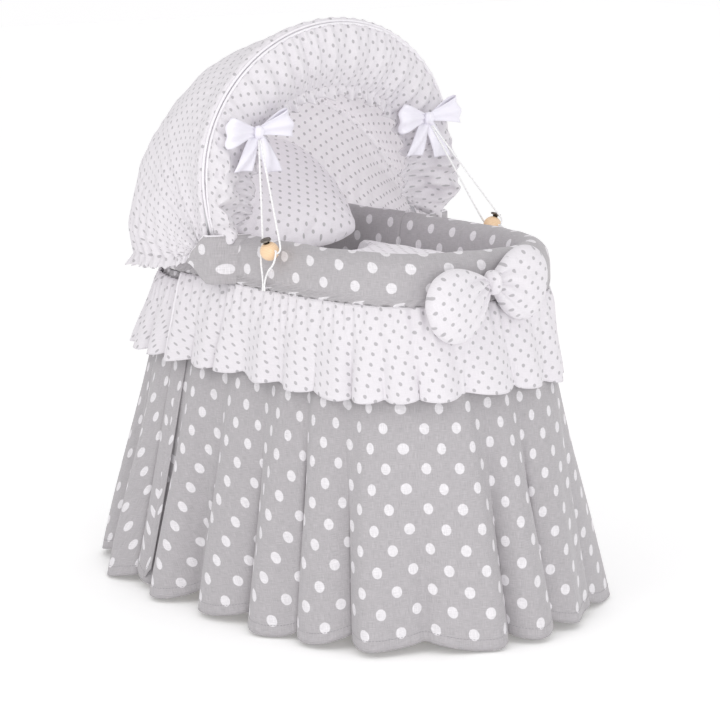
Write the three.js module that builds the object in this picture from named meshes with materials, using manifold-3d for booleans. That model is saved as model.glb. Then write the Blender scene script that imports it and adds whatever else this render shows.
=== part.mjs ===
// A baby's bassinet on a stand: a wicker basket in a wooden frame, dressed in cloth, with a folding hood.
// Millimetres, +Z up. +X is the foot end, -X the head end with the hood, -Y the left side.
// The origin is on the floor below the middle of the basket.
import * as THREE from "three";
import { mergeVertices } from "three/addons/utils/BufferGeometryUtils.js";
import Module from "manifold-3d";

const wasm = await Module();
wasm.setup();

// Driving dimensions
const RIM_HALF_LENGTH = 415; // outside of the padded liner, at the seam
const RIM_HALF_WIDTH = 243;
const RIM_POWER = 3.2; // how square the oval is: 2 would be an ellipse
const SEAM_Z = 600; // seam between liner flap, ruffle and skirt
const CREST_Z = 691; // top of the padded liner
const HEM_Z = 3;
const HEM_FLARE = 143; // how far the hem stands outside the seam
const RUFFLE_Z = 437; // lower edge of the ruffle
const GAP = 0.3; // between pieces that touch
const PIVOT = new THREE.Vector3(-79, 0, 645); // hinge axis of the hood, along Y
const HOOP_TOP = 427; // pivot axis to the middle of the front hoop's rod
const HOOP_HALF_WIDTH = 293;
const HOOP_ANGLE = 94.5; // degrees from -X up to the front hoop
const MID_ANGLE = 48;
const ROD_RADIUS = 3.5;
const CORD_RADIUS = 1.75;
const BALL_RADIUS = 17.5;
const BALL = new THREE.Vector3(107, 270, 680); // right-hand cord lock, mirrored for the left
const KNOT = new THREE.Vector3(-9, 206, 882); // right-hand satin bow's knot
const ANCHOR = new THREE.Vector3(68, 254, 600.8); // where the right-hand cords go into the seam

const CLOTH_GREY = 0xc3bfc4;
const CLOTH_WHITE = 0xefebf1;
const WOOD = 0xd9b58a;
const WICKER = 0xc9a470;
const SATIN = 0xe9e4f4;
const STEEL = 0x8d8a86;

const bassinet = new THREE.Group();

function add(name, geometry, color, roughness = 0.9, metalness = 0) {
  const mesh = new THREE.Mesh(geometry, new THREE.MeshStandardMaterial({ color, roughness, metalness }));
  mesh.name = name;
  bassinet.add(mesh);
  return mesh;
}

// Joining and cutting
function solid(geometry) {
  const bare = geometry.clone();
  bare.deleteAttribute("normal");
  bare.deleteAttribute("uv");
  const merged = mergeVertices(bare, 1e-3);
  return new wasm.Manifold(
    new wasm.Mesh({
      numProp: 3,
      vertProperties: merged.attributes.position.array,
      triVerts: new Uint32Array(merged.index.array),
    }),
  );
}

function geometryOf(manifold) {
  const mesh = manifold.getMesh();
  const geometry = new THREE.BufferGeometry();
  geometry.setAttribute("position", new THREE.BufferAttribute(mesh.vertProperties, 3));
  geometry.setIndex(new THREE.BufferAttribute(mesh.triVerts, 1));
  return geometry;
}

function cut(geometry, ...tools) {
  return geometryOf(tools.reduce((left, tool) => left.subtract(solid(tool)), solid(geometry)));
}

function join(...geometries) {
  return geometryOf(geometries.slice(1).reduce((sum, next) => sum.add(solid(next)), solid(geometries[0])));
}

function box(from, to) {
  const size = to.map((high, i) => high - from[i]);
  return new THREE.BoxGeometry(...size).translate(...to.map((high, i) => (high + from[i]) / 2));
}

function rod(radius, from, to, sides = 16) {
  const start = new THREE.Vector3(...from);
  const run = new THREE.Vector3(...to).sub(start);
  const turn = new THREE.Quaternion().setFromUnitVectors(new THREE.Vector3(0, 1, 0), run.clone().normalize());
  return new THREE.CylinderGeometry(radius, radius, run.length(), sides)
    .applyQuaternion(turn)
    .translate(...start.addScaledVector(run, 0.5).toArray());
}

function tube(points, radius, steps, sides = 8) {
  const section = new THREE.Shape().absarc(0, 0, radius, 0, 2 * Math.PI);
  const extrudePath = new THREE.CatmullRomCurve3(points, false, "centripetal");
  return new THREE.ExtrudeGeometry(section, { steps, curveSegments: sides / 2, extrudePath });
}

// Moves every point of a geometry
function reshape(geometry, move) {
  const place = geometry.attributes.position;
  for (let i = 0; i < place.count; i++) {
    place.setXYZ(i, ...move(place.getX(i), place.getY(i), place.getZ(i)));
  }
  return geometry;
}

// How far out the basket's oval lies in one direction, for an oval that is `outset` larger than the rim
function ovalPoint(direction, outset) {
  const [c, s] = [Math.cos(direction), Math.sin(direction)];
  const k = (Math.abs(c) ** RIM_POWER + Math.abs(s) ** RIM_POWER) ** (1 / RIM_POWER);
  return [((RIM_HALF_LENGTH + outset) * c) / k, ((RIM_HALF_WIDTH + outset) * s) / k];
}

// A ring round the basket from a closed profile of [outset, z] points
function ovalRing(profile, segments = 64) {
  const points = [...profile, profile[0]]
    .map(([outset, z]) => new THREE.Vector2(RIM_HALF_LENGTH + outset, z));
  const ring = new THREE.LatheGeometry(points, segments).rotateX(Math.PI / 2);
  return reshape(ring, (x, y, z) => [...ovalPoint(Math.atan2(y, x), Math.hypot(x, y) - RIM_HALF_LENGTH), z]);
}

// A solid that fills the basket's oval, from [outset, z] points: it is closed on the middle axis at both ends
function ovalPlug(profile, segments = 40) {
  const centre = -RIM_HALF_LENGTH;
  const points = [[centre, profile[0][1]], ...profile, [centre, profile.at(-1)[1]]].map(
    ([outset, z]) => new THREE.Vector2(RIM_HALF_LENGTH + outset, z),
  );
  const plug = new THREE.LatheGeometry(points, segments).rotateX(Math.PI / 2);
  return reshape(plug, (x, y, z) => {
    const reach = Math.hypot(x, y);
    if (reach < 1e-6) return [0, 0, z];
    const [u, v] = ovalPoint(Math.atan2(y, x), reach - RIM_HALF_LENGTH);
    return [u, v, z];
  });
}

// ---- The stand: four legs on glides, side rails, bearers under the basket, low end rails and a stretcher
const LEG = { x: 240, y: 232.4, length: 40, width: 30, bottom: 12, top: 445 };
const RAIL = { halfLength: 330, inner: 195, outer: 217, low: 405, high: 445 };
const BEARER = { x: 200, halfWidth: 15, low: 404, high: 431.7 };
const LOW_RAIL = { low: 90, high: 130, halfWidth: 12 };

for (const [end, sx] of [["head", -1], ["foot", 1]]) {
  for (const [side, sy] of [["left", -1], ["right", 1]]) {
    const [x, y] = [sx * LEG.x, sy * LEG.y];
    const [hx, hy] = [LEG.length / 2, LEG.width / 2];
    add(`leg_${end}_${side}`, box([x - hx, y - hy, LEG.bottom], [x + hx, y + hy, LEG.top]), WOOD, 0.6);
    add(`glide_${end}_${side}`, rod(14, [x, y, 0], [x, y, LEG.bottom - GAP]), 0x5a5a5c, 0.7);
  }
  const half = BEARER.halfWidth;
  add(
    `bearer_${end}`,
    box(
      [sx * BEARER.x - half, GAP - RAIL.inner, BEARER.low],
      [sx * BEARER.x + half, RAIL.inner - GAP, BEARER.high],
    ),
    WOOD,
    0.6,
  );
  const reach = LEG.y - LEG.width / 2 - GAP;
  add(
    `low_rail_${end}`,
    box(
      [sx * LEG.x - LOW_RAIL.halfWidth, -reach, LOW_RAIL.low],
      [sx * LEG.x + LOW_RAIL.halfWidth, reach, LOW_RAIL.high],
    ),
    WOOD,
    0.6,
  );
}
for (const [side, low, high] of [
  ["left", -RAIL.outer, -RAIL.inner],
  ["right", RAIL.inner, RAIL.outer],
]) {
  add(
    `side_rail_${side}`,
    box([-RAIL.halfLength, low, RAIL.low], [RAIL.halfLength, high, RAIL.high]),
    WOOD,
    0.6,
  );
}
const stretcherEnd = LEG.x - LOW_RAIL.halfWidth - GAP;
add("stretcher", box([-stretcherEnd, -20, 96], [stretcherEnd, 20, 124]), WOOD, 0.6);

// ---- The basket: a tapering wicker tub with a floor, and a braid round its top
const TUB = { top: 655, floorTop: 442, floorBottom: 432, topOutset: -15, floorOutset: -62, wall: 12 };
add(
  "basket_tub",
  ovalPlug([
    [TUB.floorOutset, TUB.floorBottom],
    [TUB.topOutset, TUB.top],
    [TUB.topOutset - TUB.wall, TUB.top],
    [TUB.floorOutset - TUB.wall, TUB.floorTop],
  ]),
  WICKER,
  0.7,
);
const BRAID = { radius: 9, outset: -24, z: 664.4, sides: 8 };
const braid = Array.from({ length: BRAID.sides }, (_, i) => {
  const turn = (2 * Math.PI * i) / BRAID.sides;
  return [BRAID.outset + BRAID.radius * Math.cos(turn), BRAID.z + BRAID.radius * Math.sin(turn)];
});
add("basket_braid", ovalRing(braid, 40), WICKER, 0.7);

// ---- Mattress and quilt
add("mattress", ovalPlug([[-84, 456], [-78, 464], [-78, 536], [-84, 545]]), CLOTH_WHITE);
const QUILT = { cutX: -66, bottom: 547 };
const quilt = ovalPlug([
  [-84, QUILT.bottom], [-77, 560], [-63, 596], [-57, 622], [-62, 633], [-90, 640], [-170, 641],
]);
add("quilt", cut(quilt, box([-500, -300, 500], [QUILT.cutX, 300, 700])), CLOTH_WHITE);

// ---- Pillow, leaning on the head end under the hood
const PILLOW = { halfLength: 150, halfWidth: 158, halfThickness: 42, slope: 37.6, x: -228, z: 729 };
const pillow = reshape(new THREE.SphereGeometry(1, 20, 10), (x, y, z) => {
  const edge = (Math.abs(x) ** 4 + Math.abs(y) ** 4) ** 0.25 || 1;
  const swell = Math.hypot(x, y) / edge;
  return [x * swell * PILLOW.halfLength, y * swell * PILLOW.halfWidth, z * PILLOW.halfThickness];
})
  .rotateY(THREE.MathUtils.degToRad(PILLOW.slope))
  .translate(PILLOW.x, 0, PILLOW.z);
add("pillow", pillow, CLOTH_WHITE);

// ---- Padded liner: rolled over the rim, its outer flap ends at the seam. It is split at the hood's hinges.
const linerProfile = [
  [0, SEAM_Z + 1],
  [5, 622],
  [6, 648],
  [0, 673],
  [-11, 686],
  [-24, CREST_Z],
  [-38, 686],
  [-47, 672],
  [-51, 640],
  [-57, 590],
  [-67, 552],
  [-56, 550],
  [-46, 590],
  [-39, 640],
  [-35, 668],
  [-29, 675],
  [-20, 675],
  [-13, 668],
  [-10, 648],
  [-11, SEAM_Z + 1],
];
const liner = ovalRing(linerProfile, 44);
const HINGE = { halfWidth: 15, inner: 228.6, outer: 252, low: 618, high: 672 };
const notches = [-1, 1].map((side) => {
  const ys = [side * (HINGE.inner - 1), side * (HINGE.outer + 10)].sort((a, b) => a - b);
  return box(
    [PIVOT.x - HINGE.halfWidth - 2, ys[0], SEAM_Z - 5],
    [PIVOT.x + HINGE.halfWidth + 2, ys[1], HINGE.high + 5],
  );
});
add("liner_foot", cut(liner, box([-500, -300, 500], [PIVOT.x + GAP, 300, 750]), ...notches), CLOTH_GREY);
add("liner_head", cut(liner, box([PIVOT.x - GAP, -300, 500], [500, 300, 750]), ...notches), CLOTH_GREY);

// ---- Ruffle and skirt: flaring skins below the seam, each in a head and a foot part
const SPLIT_X = -190;
const skirtProfile = [
  [-10, SEAM_Z - 3],
  [-4, SEAM_Z - 3],
  [31, RUFFLE_Z - 2],
  [HEM_FLARE, HEM_Z],
  [HEM_FLARE - 6, HEM_Z],
  [25, RUFFLE_Z - 2],
];
const ruffleProfile = [
  [-1, SEAM_Z - 3],
  [4, SEAM_Z - 3],
  [53, RUFFLE_Z],
  [48, RUFFLE_Z],
];
for (const [name, profile, color] of [
  ["skirt", skirtProfile, CLOTH_GREY],
  ["ruffle", ruffleProfile, CLOTH_WHITE],
]) {
  const skin = ovalRing(profile.reverse(), 48);
  add(`${name}_foot`, cut(skin, box([-700, -500, -10], [SPLIT_X + GAP, 500, 700])), color);
  add(`${name}_head`, cut(skin, box([SPLIT_X - GAP, -500, -10], [700, 500, 700])), color);
}

// ---- Stuffed bow on the foot end: two padded lobes and a knot
const BOW = { x: 451, knotY: -42, knotZ: 643, lobeHalf: 64, depth: 29 };
for (const [side, dy, dz] of [["left", -73, -31], ["right", 61, -6]]) {
  const lobe = reshape(new THREE.SphereGeometry(1, 16, 10), (x, y, z) => {
    const toKnot = Math.max(0, -Math.sign(dy) * y);
    const pinch = 1 - 0.55 * toKnot ** 2;
    return [x * BOW.depth, y * BOW.lobeHalf * (toKnot > 0 ? 0.82 : 1), z * BOW.lobeHalf * pinch];
  });
  lobe.rotateX(Math.atan2(dz, dy) + (dy < 0 ? Math.PI : 0));
  lobe.translate(BOW.x, BOW.knotY + dy * 1.1, BOW.knotZ + dz * 1.1);
  add(`bow_lobe_${side}`, lobe, CLOTH_WHITE);
}
const knotSize = [36, 20, 44];
add(
  "bow_knot",
  new THREE.SphereGeometry(0.5, 12, 8).scale(...knotSize).translate(BOW.x, BOW.knotY, BOW.knotZ),
  CLOTH_WHITE,
);

// ---- Hood hinges: a block on each side of the basket, in the liner's slit, with a pivot bolt
const BOLT = { radius: 4, bore: 4.3, from: 236, head: 267.5, end: 272, headRadius: 8 };
for (const [side, sy] of [["left", -1], ["right", 1]]) {
  const ys = [sy * HINGE.inner, sy * HINGE.outer].sort((a, b) => a - b);
  const block = box(
    [PIVOT.x - HINGE.halfWidth, ys[0], HINGE.low],
    [PIVOT.x + HINGE.halfWidth, ys[1], HINGE.high],
  );
  const bore = rod(BOLT.bore, [PIVOT.x, sy * (BOLT.from - GAP), PIVOT.z], [PIVOT.x, sy * 260, PIVOT.z]);
  add(`hinge_block_${side}`, cut(block, bore), WOOD, 0.6);
  const shankEnd = [PIVOT.x, sy * (BOLT.head + 1), PIVOT.z];
  const shank = rod(BOLT.radius, [PIVOT.x, sy * BOLT.from, PIVOT.z], shankEnd);
  const head = rod(BOLT.headRadius, [PIVOT.x, sy * BOLT.head, PIVOT.z], [PIVOT.x, sy * BOLT.end, PIVOT.z]);
  add(`pivot_bolt_${side}`, join(shank, head), STEEL, 0.35, 0.9);
}

// ---- Hood. An arch is a horseshoe in the plane that holds the pivot axis at some angle:
// straight-ish legs up to `waist`, then a squarish half oval to `top`.
// `share` runs from -1 at the left foot, over 0 at the top, to 1 at the right foot.
const LEG_SHARE = 0.2;

function archPoint(arch, angle, share) {
  const along = Math.abs(share);
  let [reach, width] = [0, 0];
  if (along > 1 - LEG_SHARE) {
    const up = (1 - along) / LEG_SHARE;
    reach = arch.foot + (arch.waist - arch.foot) * up;
    width = arch.footWidth + (arch.width - arch.footWidth) * Math.sin((Math.PI / 2) * up);
  } else {
    const turn = ((Math.PI / 2) * along) / (1 - LEG_SHARE);
    const k = (Math.cos(turn) ** arch.power + Math.sin(turn) ** arch.power) ** (1 / arch.power);
    reach = arch.waist + ((arch.top - arch.waist) * Math.cos(turn)) / k;
    width = (arch.width * Math.sin(turn)) / k;
  }
  const lean = THREE.MathUtils.degToRad(angle);
  return new THREE.Vector3(
    PIVOT.x - reach * Math.cos(lean),
    Math.sign(share) * width,
    PIVOT.z + reach * Math.sin(lean),
  );
}

function archCurve(arch, angle, count) {
  return Array.from({ length: count + 1 }, (_, i) => archPoint(arch, angle, (2 * i) / count - 1));
}

// The two hoops: bent rods with a flat eye on each bolt
const FRONT_HOOP = { top: HOOP_TOP, width: HOOP_HALF_WIDTH, footWidth: 263.5, foot: 9, waist: 168, power: 2 };
const MID_HOOP = { top: 377, width: 264, footWidth: 256, foot: 9, waist: 140, power: 2.5 };
for (const [name, arch, angle] of [
  ["hood_hoop_front", FRONT_HOOP, HOOP_ANGLE],
  ["hood_hoop_mid", MID_HOOP, MID_ANGLE],
]) {
  const eyes = [-1, 1].map((sy) =>
    rod(11, [PIVOT.x, sy * (arch.footWidth - 2), PIVOT.z], [PIVOT.x, sy * (arch.footWidth + 2), PIVOT.z]),
  );
  const bores = [-1, 1]
    .map((sy) => rod(BOLT.bore, [PIVOT.x, sy * 240, PIVOT.z], [PIVOT.x, sy * 280, PIVOT.z]));
  const hoop = join(tube(archCurve(arch, angle, 40), ROD_RADIUS, 38, 6), ...eyes);
  add(name, cut(hoop, ...bores), STEEL, 0.4, 0.8);
}

// The canopy: one sheet over the hoops, from the front hoop back to its elastic edge below the rim.
// Each row is [angle, top, width, waist, power] of the sheet's inside.
const CANOPY_FOOT = 17;
const CANOPY_FOOT_WIDTH = 275;
const canopyRows = [
  [-4, 352, 276, 90, 3],
  [8, 369, 288, 110, 2.8],
  [25, 380, 286, 130, 2.5],
  [48, 383, 272, 150, 2.5],
  [70, 394, 276, 160, 2.5],
  [85, 410, 286, 168, 2.1],
  [93.5, 432, 298, 168, 2],
];

function canopyArch(angle, outset) {
  const next = Math.max(1, canopyRows.findIndex(([rowAngle]) => rowAngle >= angle - 1e-6));
  const [from, to] = [canopyRows[next - 1], canopyRows[next]];
  const t = (angle - from[0]) / (to[0] - from[0]);
  const [, top, width, waist, power] = from.map((value, i) => value + (to[i] - value) * t);
  return {
    top: top + outset,
    width: width + outset,
    footWidth: CANOPY_FOOT_WIDTH + outset,
    foot: CANOPY_FOOT,
    waist,
    power,
  };
}

const [canopyBack, canopyFront] = [canopyRows[0][0], canopyRows.at(-1)[0]];
const canopy = reshape(new THREE.BoxGeometry(2, 1, 1, 26, 10, 1), (share, along, side) => {
  const angle = canopyFront + (canopyBack - canopyFront) * (along + 0.5);
  return archPoint(canopyArch(angle, side > 0 ? 3 : 0), angle, share).toArray();
});
add("hood_canopy", canopy, CLOTH_WHITE);

// The front band: gathered cloth from the front hoop in to its elastic frill, standing forward of the hoop
const BAND = { back: 5, thickness: 22 };
const bandOuter = { top: 426, width: 288, footWidth: 258, foot: 52, waist: 168, power: 2 };
const bandInner = { top: 302, width: 196, footWidth: 206, foot: 52, waist: 110, power: 2.3 };
const forward = THREE.MathUtils.degToRad(HOOP_ANGLE - 90);
const band = reshape(new THREE.BoxGeometry(2, 1, 1, 26, 3, 1), (share, across, side) => {
  const mix = 0.5 - across;
  const edge = archPoint(bandOuter, HOOP_ANGLE, share).lerp(archPoint(bandInner, HOOP_ANGLE, share), mix);
  const crown = BAND.thickness * (0.45 + 0.55 * Math.sin(Math.PI * mix));
  const out = BAND.back + (side > 0 ? crown : 0);
  return [edge.x + out * Math.cos(forward), edge.y, edge.z - out * Math.sin(forward)];
});
add("hood_band", band, CLOTH_WHITE);

// White piping along the hoop, between canopy and band
const pipingArch = { top: 432, width: 296, footWidth: 268, foot: 40, waist: 168, power: 2 };
const PIPING_OUT = 8;
const piping = archCurve(pipingArch, HOOP_ANGLE, 40)
  .map((point) => point.add(new THREE.Vector3(PIPING_OUT, 0, 0)));
add("hood_piping", tube(piping, 2.5, 32, 6), 0xf6f3fa, 0.6);

// Satin bow on each side of the band: two loops, two tails and a knot
for (const [side, sy] of [["left", -1], ["right", 1]]) {
  const loops = [-1, 1].map((out) =>
    new THREE.SphereGeometry(1, 12, 8)
      .scale(9, 31, 17)
      .rotateX(out * 0.35)
      .translate(0, out * 30, 9),
  );
  const tails = [-1, 1].map((out) =>
    new THREE.BoxGeometry(3, 26, 58).rotateX(out * 0.5).translate(0, out * 18, -28),
  );
  const knot = new THREE.SphereGeometry(11, 10, 8);
  const bow = join(knot, ...loops, ...tails).translate(KNOT.x - 9, sy * KNOT.y, KNOT.z);
  add(`satin_bow_${side}`, bow, SATIN, 0.35);
}

// ---- Cord locks: a bored wooden ball, a sprung plunger with a metal cap, and the cords through it
const LOCK_TILT = THREE.MathUtils.degToRad(23); // plungers lean outwards
const LOCK = {
  boreRadius: 5.4,
  boreBottom: -14,
  stemRadius: 5,
  stemBottom: -7,
  stemTop: 21.2,
  capRadius: 10,
  capTop: 24.8,
  cordHole: 4.6,
};
const CORD_STEP = 2.35; // the two strands lie this far each side of the ball's middle
const SPRING = { radius: 3.8, wire: 0.45, turns: 3, low: -13.2, high: -7.8 };

const ballBody = cut(
  new THREE.SphereGeometry(BALL_RADIUS, 16, 10),
  rod(LOCK.boreRadius, [0, 0, LOCK.boreBottom], [0, 0, BALL_RADIUS + 5]),
  rod(LOCK.cordHole, [-30, 0, 0], [30, 0, 0]),
);
const plungerBody = cut(
  join(
    rod(LOCK.stemRadius, [0, 0, LOCK.stemBottom], [0, 0, LOCK.stemTop + 1]),
    rod(LOCK.capRadius, [0, 0, LOCK.stemTop], [0, 0, LOCK.capTop]),
  ),
  box([-10, -2.3, -4.6], [10, 2.3, 8.6]),
);
const springPoints = Array.from({ length: 10 * SPRING.turns + 1 }, (_, i) => {
  const turn = (2 * Math.PI * i) / 10;
  const rise = i / (10 * SPRING.turns);
  const z = SPRING.low + (SPRING.high - SPRING.low) * rise;
  return new THREE.Vector3(SPRING.radius * Math.cos(turn), SPRING.radius * Math.sin(turn), z);
});

// A cord's upper strand runs straight from bow to ball; its tail goes on through the ball to the seam.
const strandA = {
  top: [-4, 209, 868],
  ball: [80, 264.8, 694],
  tail: [[83.5, 268.5, 686], [88, "through"], [107, "through"], [126, "through"], [131, 274.5, 680],
    [132.5, 277, 671], [126, 277, 658], [106, 272, 644], [86, 263, 628], [74, 257, 613]],
  rise: CORD_STEP,
  end: 2.4,
};
const strandB = {
  top: [1, 209, 868],
  ball: [136, 268.5, 696],
  tail: [[135.5, 267.5, 686], [131, 267.6, 680], [126, "through"], [107, "through"], [88, "through"],
    [82, 270, 672], [79, 268, 652], [73, 261, 632], [68, 256, 615]],
  rise: -CORD_STEP,
  end: -2.4,
};

function strandTail(strand, sy) {
  const inside = (x) => {
    const [y, z] = [strand.rise * Math.sin(LOCK_TILT), strand.rise * Math.cos(LOCK_TILT)];
    return [x, BALL.y + y, BALL.z + z];
  };
  const lead = strand.ball.map((value, i) => value + (value - strand.top[i]) * 0.012);
  const route = [
    strand.ball,
    lead,
    ...strand.tail.map((point) => (point[1] === "through" ? inside(point[0]) : point)),
    [ANCHOR.x + strand.end, ANCHOR.y, ANCHOR.z],
  ];
  return route.map(([x, y, z]) => new THREE.Vector3(x, sy * y, z));
}

for (const [side, sy] of [["left", -1], ["right", 1]]) {
  const lock = new THREE.Group();
  lock.position.set(BALL.x, sy * BALL.y, BALL.z);
  lock.rotation.x = -sy * LOCK_TILT;
  bassinet.add(lock);
  lock.add(add(`cord_lock_ball_${side}`, ballBody.clone(), WOOD, 0.5));
  lock.add(add(`cord_lock_plunger_${side}`, plungerBody.clone(), STEEL, 0.35, 0.9));
  lock.add(add(`cord_lock_spring_${side}`, tube(springPoints, SPRING.wire, 30, 4), STEEL, 0.35, 0.9));
  for (const [letter, strand] of [["a", strandA], ["b", strandB]]) {
    const upper = [strand.top, strand.ball].map(([x, y, z]) => new THREE.Vector3(x, sy * y, z));
    upper[1].lerp(upper[0], GAP / upper[0].distanceTo(upper[1]));
    add(`hood_cord_${side}_${letter}`, tube(upper, CORD_RADIUS, 22), CLOTH_WHITE, 0.8);
    add(`cord_tail_${side}_${letter}`, tube(strandTail(strand, sy), CORD_RADIUS, 20), CLOTH_WHITE, 0.8);
  }
}

export default bassinet;
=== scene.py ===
import math

import bpy
import numpy as np
from mathutils import Matrix, Vector, noise


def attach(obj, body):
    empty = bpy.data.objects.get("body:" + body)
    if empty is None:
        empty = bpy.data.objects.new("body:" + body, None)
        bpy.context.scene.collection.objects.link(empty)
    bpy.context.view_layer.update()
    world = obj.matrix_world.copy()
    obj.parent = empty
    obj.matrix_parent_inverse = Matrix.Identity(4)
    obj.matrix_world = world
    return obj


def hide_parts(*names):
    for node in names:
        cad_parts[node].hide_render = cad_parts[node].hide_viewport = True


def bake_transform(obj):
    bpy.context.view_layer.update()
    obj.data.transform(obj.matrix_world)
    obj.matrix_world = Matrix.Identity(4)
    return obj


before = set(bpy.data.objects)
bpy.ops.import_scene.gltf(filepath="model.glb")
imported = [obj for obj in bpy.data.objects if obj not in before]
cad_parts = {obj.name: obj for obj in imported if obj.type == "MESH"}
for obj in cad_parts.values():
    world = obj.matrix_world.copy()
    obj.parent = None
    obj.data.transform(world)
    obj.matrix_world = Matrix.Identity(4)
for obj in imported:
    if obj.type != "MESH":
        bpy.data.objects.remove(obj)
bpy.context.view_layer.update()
scene = bpy.context.scene

# ---- Camera and studio
# The bassinet stands on a plain pale floor in soft, even light, seen from its foot end and left side.
target = Vector((0.0, 0.0, 0.5))
eye = Vector((4.0967, -3.3090, 1.4204))
camera = bpy.data.objects.new("camera", bpy.data.cameras.new("camera"))
scene.collection.objects.link(camera)
camera.data.lens = 140
camera.data.sensor_width = 36
camera.data.clip_end = 60
camera.location = eye
look = (target - eye).to_track_quat("-Z", "Y")
aim = target + look @ Vector((0.0217, -0.0667, 0.0))
camera.rotation_euler = (aim - eye).to_track_quat("-Z", "Y").to_euler()
scene.camera = camera
scene.view_settings.view_transform = "Standard"


def link_nodes(tree, kind, inputs=None, **settings):
    """Adds one node; inputs are values or sockets by index or name."""
    made = tree.nodes.new(kind)
    for key, value in settings.items():
        setattr(made, key, value)
    for key, value in (inputs or {}).items():
        if isinstance(value, bpy.types.NodeSocket):
            tree.links.new(value, made.inputs[key])
        else:
            made.inputs[key].default_value = value
    return made


def calc(tree, operation, *values):
    """The result of one Math node on values or sockets."""
    return link_nodes(tree, "ShaderNodeMath", dict(enumerate(values)), operation=operation).outputs[0]


def new_material(name, roughness=0.85, **sockets):
    """An empty material with its Principled shader; sockets are set on the shader itself."""
    material = bpy.data.materials.new(name)
    material.use_nodes = True
    shader = material.node_tree.nodes["Principled BSDF"]
    shader.inputs["Roughness"].default_value = roughness
    for key, value in sockets.items():
        shader.inputs[key.replace("_", " ")].default_value = value
    return material, material.node_tree, shader


def soft_light(name, place, aim_at, size, watts, color=(1, 1, 1)):
    lamp = bpy.data.objects.new(name, bpy.data.lights.new(name, "AREA"))
    lamp.data.shape = "RECTANGLE"
    lamp.data.size, lamp.data.size_y = size
    lamp.data.energy = watts
    lamp.data.color = color
    lamp.location = place
    lamp.rotation_euler = (Vector(aim_at) - Vector(place)).to_track_quat("-Z", "Y").to_euler()
    scene.collection.objects.link(lamp)


world = bpy.data.worlds.new("studio")
scene.world = world
world.use_nodes = True
world.node_tree.nodes["Background"].inputs["Color"].default_value = (1.0, 0.995, 1.0, 1)
# The backdrop looks a little brighter than the light it gives.
seen = link_nodes(world.node_tree, "ShaderNodeLightPath").outputs["Is Camera Ray"]
strength = link_nodes(world.node_tree, "ShaderNodeMapRange", {"Value": seen, 3: 0.84, 4: 1.0}).outputs[0]
world.node_tree.links.new(strength, world.node_tree.nodes["Background"].inputs["Strength"])
soft_light("key", (0.6, -4.2, 3.2), (0, 0, 0.5), (2.6, 2.2), 26, (1.0, 0.985, 0.97))
soft_light("fill", (4.6, 1.6, 2.2), (0, 0, 0.5), (2.4, 2.4), 5, (0.98, 0.98, 1.0))
soft_light("front", (4.8, -2.6, 1.6), (0, 0, 0.8), (1.4, 1.4), 60)

floor_mesh = bpy.data.meshes.new("floor")
floor_mesh.from_pydata([(-14, -14, 0), (14, -14, 0), (14, 14, 0), (-14, 14, 0)], [], [(0, 1, 2, 3)])
floor = bpy.data.objects.new("floor", floor_mesh)
scene.collection.objects.link(floor)
floor_material, _, _ = new_material(
    "floor paint", 0.6, Base_Color=(0.93, 0.93, 0.93, 1), Emission_Color=(1, 1, 1, 1), Emission_Strength=0.22
)
floor_mesh.materials.append(floor_material)

# ---- Hood cords
# Two braided white cords on each side run down from the satin bow, through the wooden lock, and
# back to the seam.
CORD_RADIUS = 0.00175
LOCK_TILT = math.radians(23)
LOCK_PLACE = (0.107, 0.270, 0.680)
CORD_STEP = 0.00235
SIDES = (("left", -1), ("right", 1))


def mesh_piece(name, points, faces, flat=None, material=None, smooth=True):
    """A mesh object from points and faces; flat gives each face corner its place on the flat cloth, in
    metres."""
    mesh = bpy.data.meshes.new(name)
    mesh.from_pydata([tuple(point) for point in np.asarray(points)], [], faces)
    if flat is not None:
        layer = mesh.uv_layers.new(name="flat")
        layer.data.foreach_set("uv", np.asarray(flat, np.float32).ravel())
    mesh.polygons.foreach_set("use_smooth", [smooth] * len(mesh.polygons))
    if material:
        mesh.materials.append(material)
    mesh.update()
    piece = bpy.data.objects.new(name, mesh)
    scene.collection.objects.link(piece)
    return piece


def smooth_path(points, step):
    """Catmull-Rom curve through points, resampled to an even step."""
    p = np.asarray(points, float)
    p = np.vstack([2 * p[0] - p[1], p, 2 * p[-1] - p[-2]])
    dense = []
    for i in range(1, len(p) - 2):
        for t in np.linspace(0, 1, 24, endpoint=False):
            a, b, c, d = p[i - 1 : i + 3]
            dense.append(
                0.5 * (
                    2 * b + (c - a) * t + (2 * a - 5 * b + 4 * c - d) * t**2 + (3 * b - a - 3 * c + d) * t**3
                )
            )
    dense.append(p[-2])
    dense = np.array(dense)
    run = np.concatenate([[0], np.cumsum(np.linalg.norm(np.diff(dense, axis=0), axis=1))])
    count = max(3, int(round(run[-1] / step)) + 1)
    even = np.linspace(0, run[-1], count)
    return np.column_stack([np.interp(even, run, dense[:, k]) for k in range(3)])


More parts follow.
